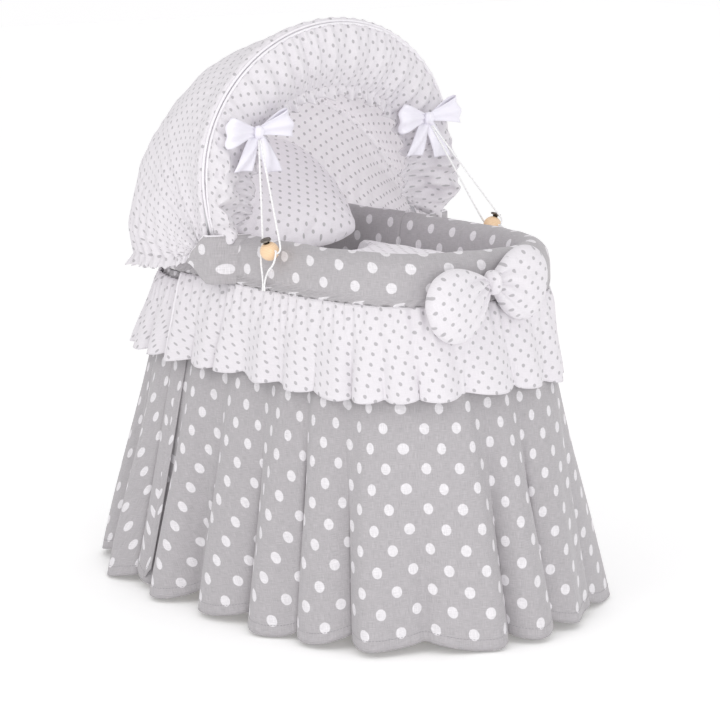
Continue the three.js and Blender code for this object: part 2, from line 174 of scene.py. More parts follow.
def tube_piece(name, path, radius, material, sides=10):
    """A round closed tube along a path; flat coordinates are (round, along) in metres."""
    path = np.asarray(path, float)
    tangent = np.gradient(path, axis=0)
    tangent /= np.linalg.norm(tangent, axis=1)[:, None]
    side = np.cross(tangent[0], (0.31, 0.24, 0.92))
    sides_along = []
    for t in tangent:
        side = side - t * np.dot(side, t)
        side /= np.linalg.norm(side)
        sides_along.append(side)
    sides_along = np.array(sides_along)
    up = np.cross(tangent, sides_along)
    radius = np.broadcast_to(radius, len(path))[:, None]
    points = []
    for k in range(sides):
        turn = 2 * math.pi * k / sides
        points.append(path + radius * (math.cos(turn) * sides_along + math.sin(turn) * up))
    points = np.stack(points, axis=1)
    run = np.concatenate([[0], np.cumsum(np.linalg.norm(np.diff(path, axis=0), axis=1))])
    rounds = np.linspace(0, 2 * math.pi * float(radius.mean()), sides + 1)
    faces, flat = [], []
    for i in range(len(path) - 1):
        for k in range(sides):
            j = (k + 1) % sides
            faces.append((i * sides + k, i * sides + j, (i + 1) * sides + j, (i + 1) * sides + k))
            flat += [
                (rounds[k], run[i]),
                (rounds[k + 1], run[i]),
                (rounds[k + 1], run[i + 1]),
                (rounds[k], run[i + 1]),
            ]
    last = (len(path) - 1) * sides
    faces += [tuple(range(sides))[::-1], tuple(last + k for k in range(sides))]
    flat += [(0, 0)] * sides + [(0, run[-1])] * sides
    return mesh_piece(name, points.reshape(-1, 3), faces, flat, material)


def fasten(piece, body, node=None):
    """Puts a piece on the body it moves with, in place of its CAD node if it has
    one."""
    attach(piece, body)
    if node:
        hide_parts(node)


cord_cloth, tree, shader = new_material("braided cord", 0.72, Base_Color=(0.93, 0.92, 0.92, 1))
flat_place = link_nodes(tree, "ShaderNodeUVMap", uv_map="flat").outputs[0]
plaits = []
for lean in (1, -1):
    skew = link_nodes(
        tree, "ShaderNodeVectorMath", {0: flat_place, 1: (900.0, lean * 700.0, 0)}, operation="DOT_PRODUCT"
    )
    plaits.append(calc(tree, "SINE", skew.outputs["Value"]))
plait = calc(tree, "MAXIMUM", plaits[0], plaits[1])
bump = link_nodes(tree, "ShaderNodeBump", {"Strength": 0.6, "Distance": 0.0004, "Height": plait})
tree.links.new(bump.outputs[0], shader.inputs["Normal"])
# The braid is painted darker in the grooves between its strands, following the same height as its bump:
# painted shade.
painted_groove_shade = link_nodes(tree, "ShaderNodeMapRange", {"Value": plait, 1: -1.0, 2: 1.0, 3: 0.84, 4: 0.95})
groove_shaded_color = link_nodes(
    tree, "ShaderNodeCombineColor", {0: painted_groove_shade.outputs[0], 1: painted_groove_shade.outputs[0], 2: painted_groove_shade.outputs[0]}
)
tree.links.new(groove_shaded_color.outputs[0], shader.inputs["Base Color"])


def inside_ball(x, rise):
    return (x, LOCK_PLACE[1] + rise * math.sin(LOCK_TILT), LOCK_PLACE[2] + rise * math.cos(LOCK_TILT))


strands = {
    "a": {
        "top": (-0.004, 0.209, 0.868),
        "ball": (0.080, 0.2648, 0.694),
        "tail": [(0.0835, 0.2685, 0.686)]
        + [inside_ball(x, CORD_STEP) for x in (0.088, 0.107, 0.126)]
        + [(0.131, 0.2745, 0.680), (0.1325, 0.277, 0.671), (0.126, 0.277, 0.658), (0.106, 0.272, 0.644)]
        + [(0.086, 0.263, 0.628), (0.074, 0.257, 0.613), (0.0704, 0.254, 0.6008)],
    },
    "b": {
        "top": (0.001, 0.209, 0.868),
        "ball": (0.136, 0.2685, 0.696),
        "tail": [(0.1355, 0.2675, 0.686), (0.131, 0.2676, 0.680)]
        + [inside_ball(x, -CORD_STEP) for x in (0.126, 0.107, 0.088)]
        + [(0.082, 0.270, 0.672), (0.079, 0.268, 0.652), (0.073, 0.261, 0.632)]
        + [(0.068, 0.256, 0.615), (0.0656, 0.254, 0.6008)],
    },
}
for side, sy in SIDES:
    for letter, strand in strands.items():
        for part, route in (
            ("hood_cord", [strand["top"], strand["ball"]]),
            ("cord_tail", [strand["ball"], *strand["tail"]]),
        ):
            path = smooth_path([(x, sy * y, z) for x, y, z in route], 0.003)
            name = f"{part}_{side}_{letter}"
            piece = tube_piece(f"braid_{name}", path, CORD_RADIUS, cord_cloth)
            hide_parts(name)
            if part == "hood_cord":
                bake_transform(piece)
            else:
                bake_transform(piece)
            length = float(np.linalg.norm(np.diff(path, axis=0), axis=1).sum())

# ---- Stand
# A low frame of planed pine bars: four legs, side rails, bearers under the basket, low end rails
# and a stretcher.


def effect_group(name, inputs, outputs):
    """An empty shader node group with named sockets; inputs are (name, kind, default)."""
    group = bpy.data.node_groups.new(name, "ShaderNodeTree")
    for label, kind, default in inputs:
        socket = group.interface.new_socket(label, in_out="INPUT", socket_type=kind)
        socket.default_value = default
    for label, kind in outputs:
        group.interface.new_socket(label, in_out="OUTPUT", socket_type=kind)
    return group, group.nodes.new("NodeGroupInput").outputs, group.nodes.new("NodeGroupOutput").inputs


def use_group(tree, group, inputs=None):
    made = tree.nodes.new("ShaderNodeGroup")
    made.node_tree = group
    for key, value in (inputs or {}).items():
        if isinstance(value, bpy.types.NodeSocket):
            tree.links.new(value, made.inputs[key])
        else:
            made.inputs[key].default_value = value
    return made.outputs


grain, given, result = effect_group(
    "wood grain",
    [("Place", "NodeSocketVector", (0, 0, 0)), ("Rings", "NodeSocketFloat", 60.0)],
    [("Tone", "NodeSocketFloat"), ("Height", "NodeSocketFloat")],
)
stretched = link_nodes(
    grain, "ShaderNodeVectorMath", {0: given[0], 1: (0.22, 1.0, 1.0)}, operation="MULTIPLY"
)
rings = link_nodes(
    grain,
    "ShaderNodeTexWave",
    {
        "Vector": stretched.outputs[0],
        "Scale": given[1],
        "Distortion": 6.0,
        "Detail": 3.0,
        "Detail Scale": 0.6,
    },
    wave_type="RINGS",
    rings_direction="X",
)
fibres = link_nodes(
    grain, "ShaderNodeTexNoise", {"Vector": stretched.outputs[0], "Scale": 420.0, "Detail": 4.0}
)
mixed = calc(grain, "MULTIPLY_ADD", rings.outputs["Fac"], 0.6, 0.0)
tone = calc(grain, "MULTIPLY_ADD", fibres.outputs[0], 0.4, mixed)
grain.links.new(tone, result[0])
grain.links.new(fibres.outputs[0], result[1])


def wood_material(name, pale, dark, rings, roughness):
    material, tree, shader = new_material(name, roughness, Coat_Weight=0.25, Coat_Roughness=0.25)
    place = link_nodes(tree, "ShaderNodeTexCoord").outputs["Object"]
    tone, height = use_group(tree, grain, {"Place": place, "Rings": rings})
    color = link_nodes(tree, "ShaderNodeMix", {"Factor": tone, 6: dark, 7: pale}, data_type="RGBA")
    tree.links.new(color.outputs[2], shader.inputs["Base Color"])
    bump = link_nodes(tree, "ShaderNodeBump", {"Strength": 0.25, "Distance": 0.0006, "Height": height})
    tree.links.new(bump.outputs[0], shader.inputs["Normal"])
    return material


def dress(node, material):
    """Gives a CAD node its material."""
    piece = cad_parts[node]
    piece.data.materials.clear()
    piece.data.materials.append(material)


pine = wood_material("pine", (0.78, 0.60, 0.40, 1), (0.62, 0.43, 0.25, 1), 55.0, 0.5)
bars = [f"{bar}_{end}" for bar in ("bearer", "low_rail") for end in ("head", "foot")] + ["stretcher"]
bars += [f"leg_{end}_{side}" for end in ("head", "foot") for side, _ in SIDES]
bars += [f"side_rail_{side}" for side, _ in SIDES]
for bar in bars:
    dress(bar, pine)


def mottled_material(name, dark, pale, roughness, noise_sizes, bump=None, gloss=None, **sockets):
    """A finish that varies from dark to pale by noise on the piece. bump is (strength, distance);
    gloss is the roughness at the dark and the pale places."""
    material, tree, shader = new_material(name, roughness, **sockets)
    place = link_nodes(tree, "ShaderNodeTexCoord").outputs["Object"]
    mottle = link_nodes(tree, "ShaderNodeTexNoise", {"Vector": place, **noise_sizes}).outputs[0]
    color = link_nodes(tree, "ShaderNodeMix", {"Factor": mottle, 6: dark, 7: pale}, data_type="RGBA")
    tree.links.new(color.outputs[2], shader.inputs["Base Color"])
    if bump:
        relief = {"Strength": bump[0], "Distance": bump[1], "Height": mottle}
        tree.links.new(link_nodes(tree, "ShaderNodeBump", relief).outputs[0], shader.inputs["Normal"])
    if gloss:
        rough = link_nodes(tree, "ShaderNodeMapRange", {"Value": mottle, 3: gloss[0], 4: gloss[1]})
        tree.links.new(rough.outputs[0], shader.inputs["Roughness"])
    return material


felt = mottled_material(
    "felt glide", (0.1, 0.1, 0.1, 1), (0.2, 0.2, 0.2, 1), 0.95, {
        "Scale": 900.0, "Detail": 3.0
    }, (0.5, 0.0005), Sheen_Weight=0.4
)
for end in ("head", "foot"):
    for side, _ in SIDES:
        dress(f"glide_{end}_{side}", felt)

# ---- Basket
# An oval tub woven from cane round upright stakes, with a plaited edge. The cloth hides it, except
# from below.
RIM_HALF_LENGTH, RIM_HALF_WIDTH, RIM_POWER = 0.415, 0.243, 3.2


def oval(direction, outset):
    """Where the basket's oval lies in a direction, for an oval that much larger than the rim."""
    c, s = np.cos(direction), np.sin(direction)
    k = (abs(c) ** RIM_POWER + abs(s) ** RIM_POWER) ** (1 / RIM_POWER)
    return (RIM_HALF_LENGTH + outset) * c / k, (RIM_HALF_WIDTH + outset) * s / k


cane = mottled_material(
    "cane",
    (0.50, 0.33, 0.16, 1),
    (0.80, 0.63, 0.38, 1),
    0.55,
    {"Scale": 90.0, "Detail": 5.0, "Distortion": 0.6},
    bump=(0.4, 0.0006),
    Coat_Weight=0.15,
    Coat_Roughness=0.4,
)


def grown_piece(name, paths, sizes, build, material, closed=False):
    """Geometry Nodes: what build grows along each of several paths, as one plain mesh.
    sizes are the tree's named inputs, which build gets from the second output of the group on."""
    tree = bpy.data.node_groups.new(name, "GeometryNodeTree")
    tree.interface.new_socket("Geometry", in_out="INPUT", socket_type="NodeSocketGeometry")
    sockets = {k: tree.interface.new_socket(k, in_out="INPUT", socket_type="NodeSocketFloat") for k in sizes}
    tree.interface.new_socket("Geometry", in_out="OUTPUT", socket_type="NodeSocketGeometry")
    given = tree.nodes.new("NodeGroupInput").outputs
    curves = link_nodes(tree, "GeometryNodeMeshToCurve", {0: given[0]})
    grown = build(tree, curves.outputs[0], given)
    real = link_nodes(tree, "GeometryNodeRealizeInstances", {0: grown.outputs[0]})
    painted = link_nodes(tree, "GeometryNodeSetMaterial", {"Geometry": real.outputs[0], "Material": material})
    tree.links.new(painted.outputs[0], tree.nodes.new("NodeGroupOutput").inputs[0])
    points, edges = [], []
    for path in paths:
        first = len(points)
        points += [tuple(p) for p in path]
        edges += [(first + i, first + i + 1) for i in range(len(path) - 1)]
        if closed:
            edges.append((first + len(path) - 1, first))
    mesh = bpy.data.meshes.new(name)
    mesh.from_pydata(points, edges, [])
    piece = bpy.data.objects.new(name, mesh)
    scene.collection.objects.link(piece)
    modifier = piece.modifiers.new("grown", "NODES")
    modifier.node_group = tree
    for key, value in sizes.items():
        modifier[sockets[key].identifier] = value
    return plain(piece)


def swept(name, paths, radius, material, sides=6, closed=True):
    """A round rod along each path."""

    def rods(tree, curves, given):
        section = link_nodes(
            tree, "GeometryNodeCurvePrimitiveCircle", {"Resolution": sides, "Radius": given[1]}
        )
        rod = {"Curve": curves, "Profile Curve": section.outputs[0], "Fill Caps": True}
        return link_nodes(tree, "GeometryNodeCurveToMesh", rod)

    return grown_piece(name, paths, {"Rod radius": radius}, rods, material, closed)


def plain(piece):
    """Turns a piece with modifiers into a plain mesh."""
    depsgraph = bpy.context.evaluated_depsgraph_get()
    mesh = bpy.data.meshes.new_from_object(piece.evaluated_get(depsgraph))
    piece.modifiers.clear()
    piece.data = mesh
    mesh.name = piece.name
    mesh.polygons.foreach_set("use_smooth", [True] * len(mesh.polygons))
    return piece


STAKES = 64
turns = np.linspace(0, 2 * math.pi, STAKES * 4, endpoint=False)
weavers = []
for row, z in enumerate(np.arange(0.446, 0.650, 0.0085)):
    outset = -0.0675 + (z - 0.442) / 0.213 * 0.0465
    wave = 0.0034 * np.cos(turns * STAKES / 2 + math.pi * (row % 2))
    x, y = oval(turns, outset + wave)
    weavers.append(np.column_stack([x, y, np.full(len(turns), z)]))
stakes = []
for turn in np.linspace(0, 2 * math.pi, STAKES, endpoint=False):
    foot, head = oval(turn, -0.0672), oval(turn, -0.0215)
    stakes.append([(*foot, 0.440), (*oval(turn, -0.045), 0.546), (*head, 0.652)])
weave = swept("cane_weavers", weavers, 0.0036, cane)
uprights = swept("cane_stakes", stakes, 0.0022, cane, closed=False)
base_rows = []
for row, share in enumerate(np.linspace(0.06, 1, 24)):
    x, y = oval(turns, -0.0675)
    z = 0.4365 + 0.0022 * np.cos(turns * STAKES / 2 + math.pi * (row % 2))
    base_rows.append(np.column_stack([x * share, y * share, z]))
base = swept("cane_base", base_rows, 0.0040, cane)
for piece in (weave, uprights, base):
    fasten(piece, "stand_and_basket")
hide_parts("basket_tub")
plait_turns = np.linspace(0, 2 * math.pi, 900, endpoint=False)
plaits = []
for k in range(3):
    wind = plait_turns * 46 + 2 * math.pi * k / 3
    x, y = oval(plait_turns, -0.024 + 0.0048 * np.cos(wind))
    plaits.append(np.column_stack([x, y, 0.6644 + 0.0048 * np.sin(wind)]))
plait = swept("cane_plait", plaits, 0.0040, cane, sides=7)
fasten(plait, "stand_and_basket")
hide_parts("basket_braid")

# ---- Cloth
# Slubbed cotton in two prints: large near-white dots on grey, and small grey dots on white, with
# white binding.
slub, given, result = effect_group(
    "slubbed weave",
    [("Flat", "NodeSocketVector", (0, 0, 0)), ("Slubs", "NodeSocketFloat", 1.0)],
    [("Tone", "NodeSocketFloat"), ("Height", "NodeSocketFloat")],
)
threads = []
for stretch in ((60.0, 1300.0, 0.0), (1300.0, 60.0, 0.0)):
    run = link_nodes(slub, "ShaderNodeVectorMath", {0: given[0], 1: stretch}, operation="MULTIPLY")
    thread = link_nodes(slub, "ShaderNodeTexNoise", {"Vector": run.outputs[0], "Scale": 1.0, "Detail": 3.0})
    threads.append(thread.outputs[0])
crossed = calc(slub, "ADD", threads[0], threads[1])
centred = calc(slub, "SUBTRACT", crossed, 1.0)
tone = calc(slub, "MULTIPLY", centred, given[1])
slub.links.new(tone, result[0])
slub.links.new(crossed, result[1])

dots, given, result = effect_group(
    "printed dots",
    [
        ("Flat", "NodeSocketVector", (0, 0, 0)),
        ("Pitch", "NodeSocketFloat", 0.05),
        ("Turn", "NodeSocketFloat", 0.0),
        ("Radius", "NodeSocketFloat", 0.01),
    ],
    [("Mask", "NodeSocketFloat")],
)
wobble = link_nodes(dots, "ShaderNodeTexNoise", {"Vector": given[0], "Scale": 260.0, "Detail": 1.0})
turned = link_nodes(
    dots, "ShaderNodeVectorRotate", {"Vector": given[0], "Angle": given[2]}, rotation_type="Z_AXIS"
)
cells = link_nodes(dots, "ShaderNodeVectorMath", {0: turned.outputs[0], "Scale": 1.0}, operation="SCALE")
inverse = calc(dots, "DIVIDE", 1.0, given[1])
dots.links.new(inverse, cells.inputs["Scale"])
part_of_cell = link_nodes(dots, "ShaderNodeVectorMath", {0: cells.outputs[0]}, operation="FRACTION")
from_middle = link_nodes(
    dots, "ShaderNodeVectorMath", {0: part_of_cell.outputs[0], 1: (0.5, 0.5, 0.0)}, operation="SUBTRACT"
)
flattened = link_nodes(
    dots, "ShaderNodeVectorMath", {0: from_middle.outputs[0], 1: (1.0, 1.0, 0.0)}, operation="MULTIPLY"
)
away = link_nodes(dots, "ShaderNodeVectorMath", {0: flattened.outputs[0]}, operation="LENGTH")
metres = calc(dots, "MULTIPLY", away.outputs["Value"], given[1])
ragged = calc(dots, "MULTIPLY_ADD", wobble.outputs[0], 0.0012, metres)
past = calc(dots, "SUBTRACT", ragged, given[3])
mask = link_nodes(dots, "ShaderNodeMapRange", {"Value": past, 1: 0.0, 2: 0.0012, 3: 1.0, 4: 0.0})
dots.links.new(mask.outputs[0], result[0])


def cloth_material(
    name, ground, dot=None, pitch=0.05, turn=0.0, radius=0.01, slubs=0.5, bump=0.5, painted_glow=0.0, **sockets
):
    """Woven cotton with an optional print of round dots; pitch and radius in metres on the flat cloth.
    The emission strength argument makes the cloth shine in its own colour as painted light, standing in for
    light a thin cloth passes on from its far side."""
    material, tree, shader = new_material(name, 0.9, Sheen_Weight=0.25, Sheen_Roughness=0.5, **sockets)
    flat = link_nodes(tree, "ShaderNodeUVMap", uv_map="flat").outputs[0]
    tone, height = use_group(tree, slub, {"Flat": flat, "Slubs": slubs})
    color = ground
    if dot:
        mask = use_group(tree, dots, {"Flat": flat, "Pitch": pitch, "Turn": turn, "Radius": radius})[0]
        color = link_nodes(
            tree, "ShaderNodeMix", {"Factor": mask, 6: ground, 7: dot}, data_type="RGBA"
        ).outputs[2]
    light = calc(tree, "ADD", tone, 1.0)
    shade = link_nodes(
        tree, "ShaderNodeVectorMath", {0: color if dot else ground[:3], "Scale": 1.0}, operation="SCALE"
    )
    tree.links.new(light, shade.inputs["Scale"])
    tree.links.new(shade.outputs[0], shader.inputs["Base Color"])
    # Painted light: the cloth shines by emission in its own colour, though it is no lamp.
    if painted_glow:
        tree.links.new(shade.outputs[0], shader.inputs["Emission Color"])
        shader.inputs["Emission Strength"].default_value = painted_glow
    rough = link_nodes(tree, "ShaderNodeBump", {"Strength": bump, "Distance": 0.0005, "Height": height})
    tree.links.new(rough.outputs[0], shader.inputs["Normal"])
    return material


GREY, WHITE = (0.435, 0.417, 0.432, 1), (0.745, 0.72, 0.752, 1)
big_dots = cloth_material(
    "big-dot cotton", GREY, (0.755, 0.735, 0.76, 1), 0.0495, math.radians(45), 0.0098, 0.62, 0.6
)
pin_dots = cloth_material(
    "pin-dot cotton", WHITE, (0.46, 0.445, 0.465, 1), 0.0195, math.radians(30), 0.0033, 0.22, 0.4
)
# The canopy's inner face: the pin-dot cotton again, with a darker ground and darker dots for painted shade,
# and an emission for a painted glow inside the hood.
lining_painted_shade_and_glow = cloth_material(
    "lining cotton", (0.70, 0.68, 0.70, 1), (
        0.42, 0.405, 0.42, 1
    ), 0.0195, math.radians(30), 0.0033, 0.22, 0.4, 0.42
)
# The pin-dot cotton again with a weaker emission: a painted glow that lightens the pillow and the quilt.
pillow_cotton_painted_glow = cloth_material(
    "pillow cotton", WHITE, (0.44, 0.425, 0.44, 1), 0.0195, math.radians(30), 0.0033, 0.22, 0.4, 0.20
)
binding = cloth_material("white binding", (0.84, 0.82, 0.85, 1), slubs=0.15, bump=0.3)


def cloth_piece(name, points, flat, material, thickness=0.0):
    """A sheet from a grid of points [row][column]; flat is each point's place on the flat cloth.
    With a thickness it is closed: the second layer lies that far behind the first."""
    points, flat = np.asarray(points, float), np.asarray(flat, float)
    rows, columns = points.shape[:2]
    if not thickness:
        layers = [points]
    else:
        across, down = np.gradient(points, axis=1), np.gradient(points, axis=0)
        normal = np.cross(across, down)
        normal /= np.linalg.norm(normal, axis=2)[..., None] + 1e-12
        layers = [points, points + normal * thickness]
    faces, corners = [], []

    def quad(a, b, c, d):
        faces.append(tuple(k * rows * columns + i * columns + j for k, i, j in (a, b, c, d)))
        corners.extend(flat[i, j] for _, i, j in (a, b, c, d))

    for i in range(rows - 1):
        for j in range(columns - 1):
            quad((0, i, j), (0, i + 1, j), (0, i + 1, j + 1), (0, i, j + 1))
            if thickness:
                quad((1, i, j), (1, i, j + 1), (1, i + 1, j + 1), (1, i + 1, j))
    if thickness:
        for i in range(rows - 1):
            quad((0, i, 0), (1, i, 0), (1, i + 1, 0), (0, i + 1, 0))
            quad((0, i + 1, columns - 1), (1, i + 1, columns - 1), (1, i, columns - 1), (0, i, columns - 1))
        for j in range(columns - 1):
            quad((0, 0, j + 1), (1, 0, j + 1), (1, 0, j), (0, 0, j))
            quad((0, rows - 1, j), (1, rows - 1, j), (1, rows - 1, j + 1), (0, rows - 1, j + 1))
    return mesh_piece(
        name, np.concatenate([layer.reshape(-1, 3) for layer in layers]), faces, corners, material
    )


def lofted_piece(name, sections, flat, material):
    """A closed solid from sections[k][m] that each go once round; flat has one more column than a
    section has points."""
    sections, flat = np.asarray(sections, float), np.asarray(flat, float)
    count, round_count = sections.shape[:2]
    faces, corners = [], []
    for i in range(count - 1):
        for j in range(round_count):
            k = (j + 1) % round_count
            low, high = i * round_count, (i + 1) * round_count
            faces.append((low + j, high + j, high + k, low + k))
            corners += [flat[i, j], flat[i + 1, j], flat[i + 1, j + 1], flat[i, j + 1]]
    for i, order in ((0, 1), (count - 1, -1)):
        ring = list(range(round_count))[::order]
        faces.append(tuple(i * round_count + j for j in ring))
        corners += [flat[i, j] for j in ring]
    return mesh_piece(name, sections.reshape(-1, 3), faces, corners, material)


def ramp(value, low, high):
    t = np.clip((np.asarray(value, float) - low) / (high - low), 0, 1)
    return t * t * (3 - 2 * t)


def ripple(points, scale, seed=0):
    """Smooth noise from -1 to 1 at each of many points."""
    shift = Vector((seed * 7.31, seed * 3.17, seed * 5.71))
    values = [noise.noise(Vector(p) * scale + shift) for p in np.asarray(points).reshape(-1, 3)]
    return np.array(values).reshape(np.asarray(points).shape[:-1])


# ---- Mattress, quilt and pillow
# A thin foam mattress on the basket's floor, and a light quilt and a flat pillow in the pin-dot cotton,
# copied with a painted glow.


def filled_piece(name, shape, flat_of, material, pressure, cap, voxel=0.006):
    """Sews shape's closed mesh up as a filled case: inflated as cloth, no point moving further than cap."""
    piece = mesh_piece(name, shape[0], shape[1], None, material)
    even = piece.modifiers.new("even", "REMESH")
    even.mode, even.voxel_size = "VOXEL", voxel
    plain(piece)
    rest = np.array([v.co for v in piece.data.vertices])
    cloth = piece.modifiers.new("case", "CLOTH")
    cloth.settings.quality = 4
    cloth.settings.mass = 0.15
    cloth.settings.use_pressure = True
    cloth.settings.uniform_pressure_force = pressure
    cloth.settings.tension_stiffness = cloth.settings.compression_stiffness = 12
    cloth.settings.bending_stiffness = 0.25
    cloth.settings.effector_weights.gravity = 0
    cloth.point_cache.frame_start, cloth.point_cache.frame_end = 1, 20
    for step in range(1, 21):
        scene.frame_set(step)
    plain(piece)
    scene.frame_set(1)
    moved = np.array([v.co for v in piece.data.vertices]) - rest
    far = np.linalg.norm(moved, axis=1)[:, None] + 1e-9
    rest = rest + moved * np.minimum(1, cap * np.tanh(far / cap) / far)
    rest = rest + ripple(rest, 16, 3)[:, None] * 0.0012
    piece.data.vertices.foreach_set("co", rest.ravel())
    fine = piece.modifiers.new("fine", "SUBSURF")
    fine.levels = fine.render_levels = 1
    plain(piece)
    piece.data.materials.clear()
    piece.data.materials.append(material)
    layer = piece.data.uv_layers.new(name="flat")
    places = np.array([v.co for v in piece.data.vertices])
    corners = np.array([loop.vertex_index for loop in piece.data.loops])
    layer.data.foreach_set("uv", flat_of(places[corners]).astype(np.float32).ravel())
    return piece


def pillow_shape(half_length, half_width, half_thick, place, pinch, count=26, power=5.0):
    """A flat case with round corners: two domed faces that meet at a seam. place moves points to where
    it lies."""
    u = np.sin(np.linspace(-1, 1, count) * math.pi / 2)
    grid = np.array([[(a, b) for b in u] for a in u])
    a, b = grid[..., 0], grid[..., 1]
    rise = np.sqrt(np.clip((1 - abs(a) ** power) * (1 - abs(b) ** power), 0, 1))
    x = half_length * a * np.sqrt(1 - pinch * b**2)
    y = half_width * b * np.sqrt(1 - pinch * a**2)
    top = np.stack([x, y, half_thick * rise], axis=-1).reshape(-1, 3)
    low = top * (1, 1, -1)
    last = count - 1
    cells = [(i, j) for i in range(count) for j in range(count)]
    edge = {i * count + j for i, j in cells if i in (0, last) or j in (0, last)}
    index = {}
    points = list(top)
    for k in range(count * count):
        index[k] = k if k in edge else len(points)
        if index[k] != k:
            points.append(low[k])
    faces = []
    for i in range(count - 1):
        for j in range(count - 1):
            q = [i * count + j, (i + 1) * count + j, (i + 1) * count + j + 1, i * count + j + 1]
            faces.append(tuple(q))
            faces.append(tuple(index[k] for k in q[::-1]))
    return place(np.array(points)), faces


PILLOW_SLOPE, PILLOW_MIDDLE = math.radians(37.6), np.array((-0.228, 0.0, 0.729))
slope_turn = np.array(Matrix.Rotation(PILLOW_SLOPE, 3, "Y"))
pillow = filled_piece(
    "pillow_case",
    pillow_shape(0.150, 0.158, 0.036, lambda p: p @ slope_turn.T + PILLOW_MIDDLE, 0.34),
    lambda p: ((p - PILLOW_MIDDLE) @ slope_turn)[:, :2],
    pillow_cotton_painted_glow,
    4,
    0.012,
    0.005,
)
fasten(pillow, "stand_and_basket", "pillow")


def oval_plug(profile, count=120):
    """Points and faces of a solid filling the basket's oval, from (outset, z) points up its side."""
    turns = np.linspace(0, 2 * math.pi, count, endpoint=False)
    rings = [np.column_stack([*oval(turns, outset), np.full(count, z)]) for outset, z in profile]
    points = np.vstack(rings)
    faces = []
    for i in range(len(rings) - 1):
        for j in range(count):
            k = (j + 1) % count
            faces.append((i * count + j, i * count + k, (i + 1) * count + k, (i + 1) * count + j))
    faces.append(tuple(range(count))[::-1])
    faces.append(tuple((len(rings) - 1) * count + j for j in range(count)))
    return points, faces


ticking = cloth_material("mattress ticking", (0.84, 0.84, 0.82, 1), slubs=0.2, bump=0.4)
mattress = filled_piece(
    "mattress_case",
    oval_plug([(-0.090, 0.460), (-0.082, 0.470), (-0.082, 0.530), (-0.090, 0.540), (-0.16, 0.5415)]),
    lambda p: np.where(
        abs(p[:, 2:] - 0.5) < 0.035, np.stack([np.arctan2(p[:, 1], p[:, 0]) * 0.3, p[:, 2]], 1), p[:, :2]
    ),
    ticking,
    2,
    0.004,
    0.008,
)
fasten(mattress, "stand_and_basket", "mattress")

quilt_points, quilt_faces = oval_plug(
    [
        (-0.090, 0.549),
        (-0.080, 0.562),
        (-0.066, 0.597),
        (-0.060, 0.620),
        (-0.066, 0.631),
        (-0.10, 0.636),
        (-0.22, 0.638),
    ]
)
beside = abs(quilt_points[:, 1])
head_edge = -0.062 - 0.045 * ramp(beside, 0.06, 0.12) - 0.070 * ramp(beside, 0.135, 0.160)
quilt_points[:, 0] = np.maximum(
    quilt_points[:, 0], head_edge + 0.02 * abs(quilt_points[:, 2] - 0.592) / 0.045
)
quilt = filled_piece(
    "quilt_case", (quilt_points, quilt_faces), lambda p: p[:, :2], pillow_cotton_painted_glow, 2, 0.004, 0.008
)
places = np.array([v.co for v in quilt.data.vertices])
dents = ripple(places * (1, 1, 0), 9, 5) * 0.004 + ripple(places * (1, 1, 0), 22, 6) * 0.0018
places[:, 2] += np.where(places[:, 2] > 0.6, dents, 0)
quilt.data.vertices.foreach_set("co", places.ravel())
fasten(quilt, "stand_and_basket", "quilt")

# ---- Padded liner
# Grey big-dot cotton over wadding, rolled over the basket's edge in a head and a foot part; the cut
# edges are bound.
SPLIT_X, HINGE_X = -0.190, -0.079


def round_the_rim(outset, split_x, end, count):
    """Even steps round one end of the oval from its left to its right split: directions and the run's
    length."""
    dense = np.linspace(0, math.pi, 2001)
    x, _ = oval(dense, outset)
    turn = np.interp(-split_x, -x, dense)
    span = np.linspace(-turn, turn, 3001) if end == "foot" else np.linspace(turn, 2 * math.pi - turn, 3001)
    x, y = oval(span, outset)
    run = np.concatenate([[0], np.cumsum(np.hypot(np.diff(x), np.diff(y)))])
    return np.interp(np.linspace(0, run[-1], count), run, span), run[-1]


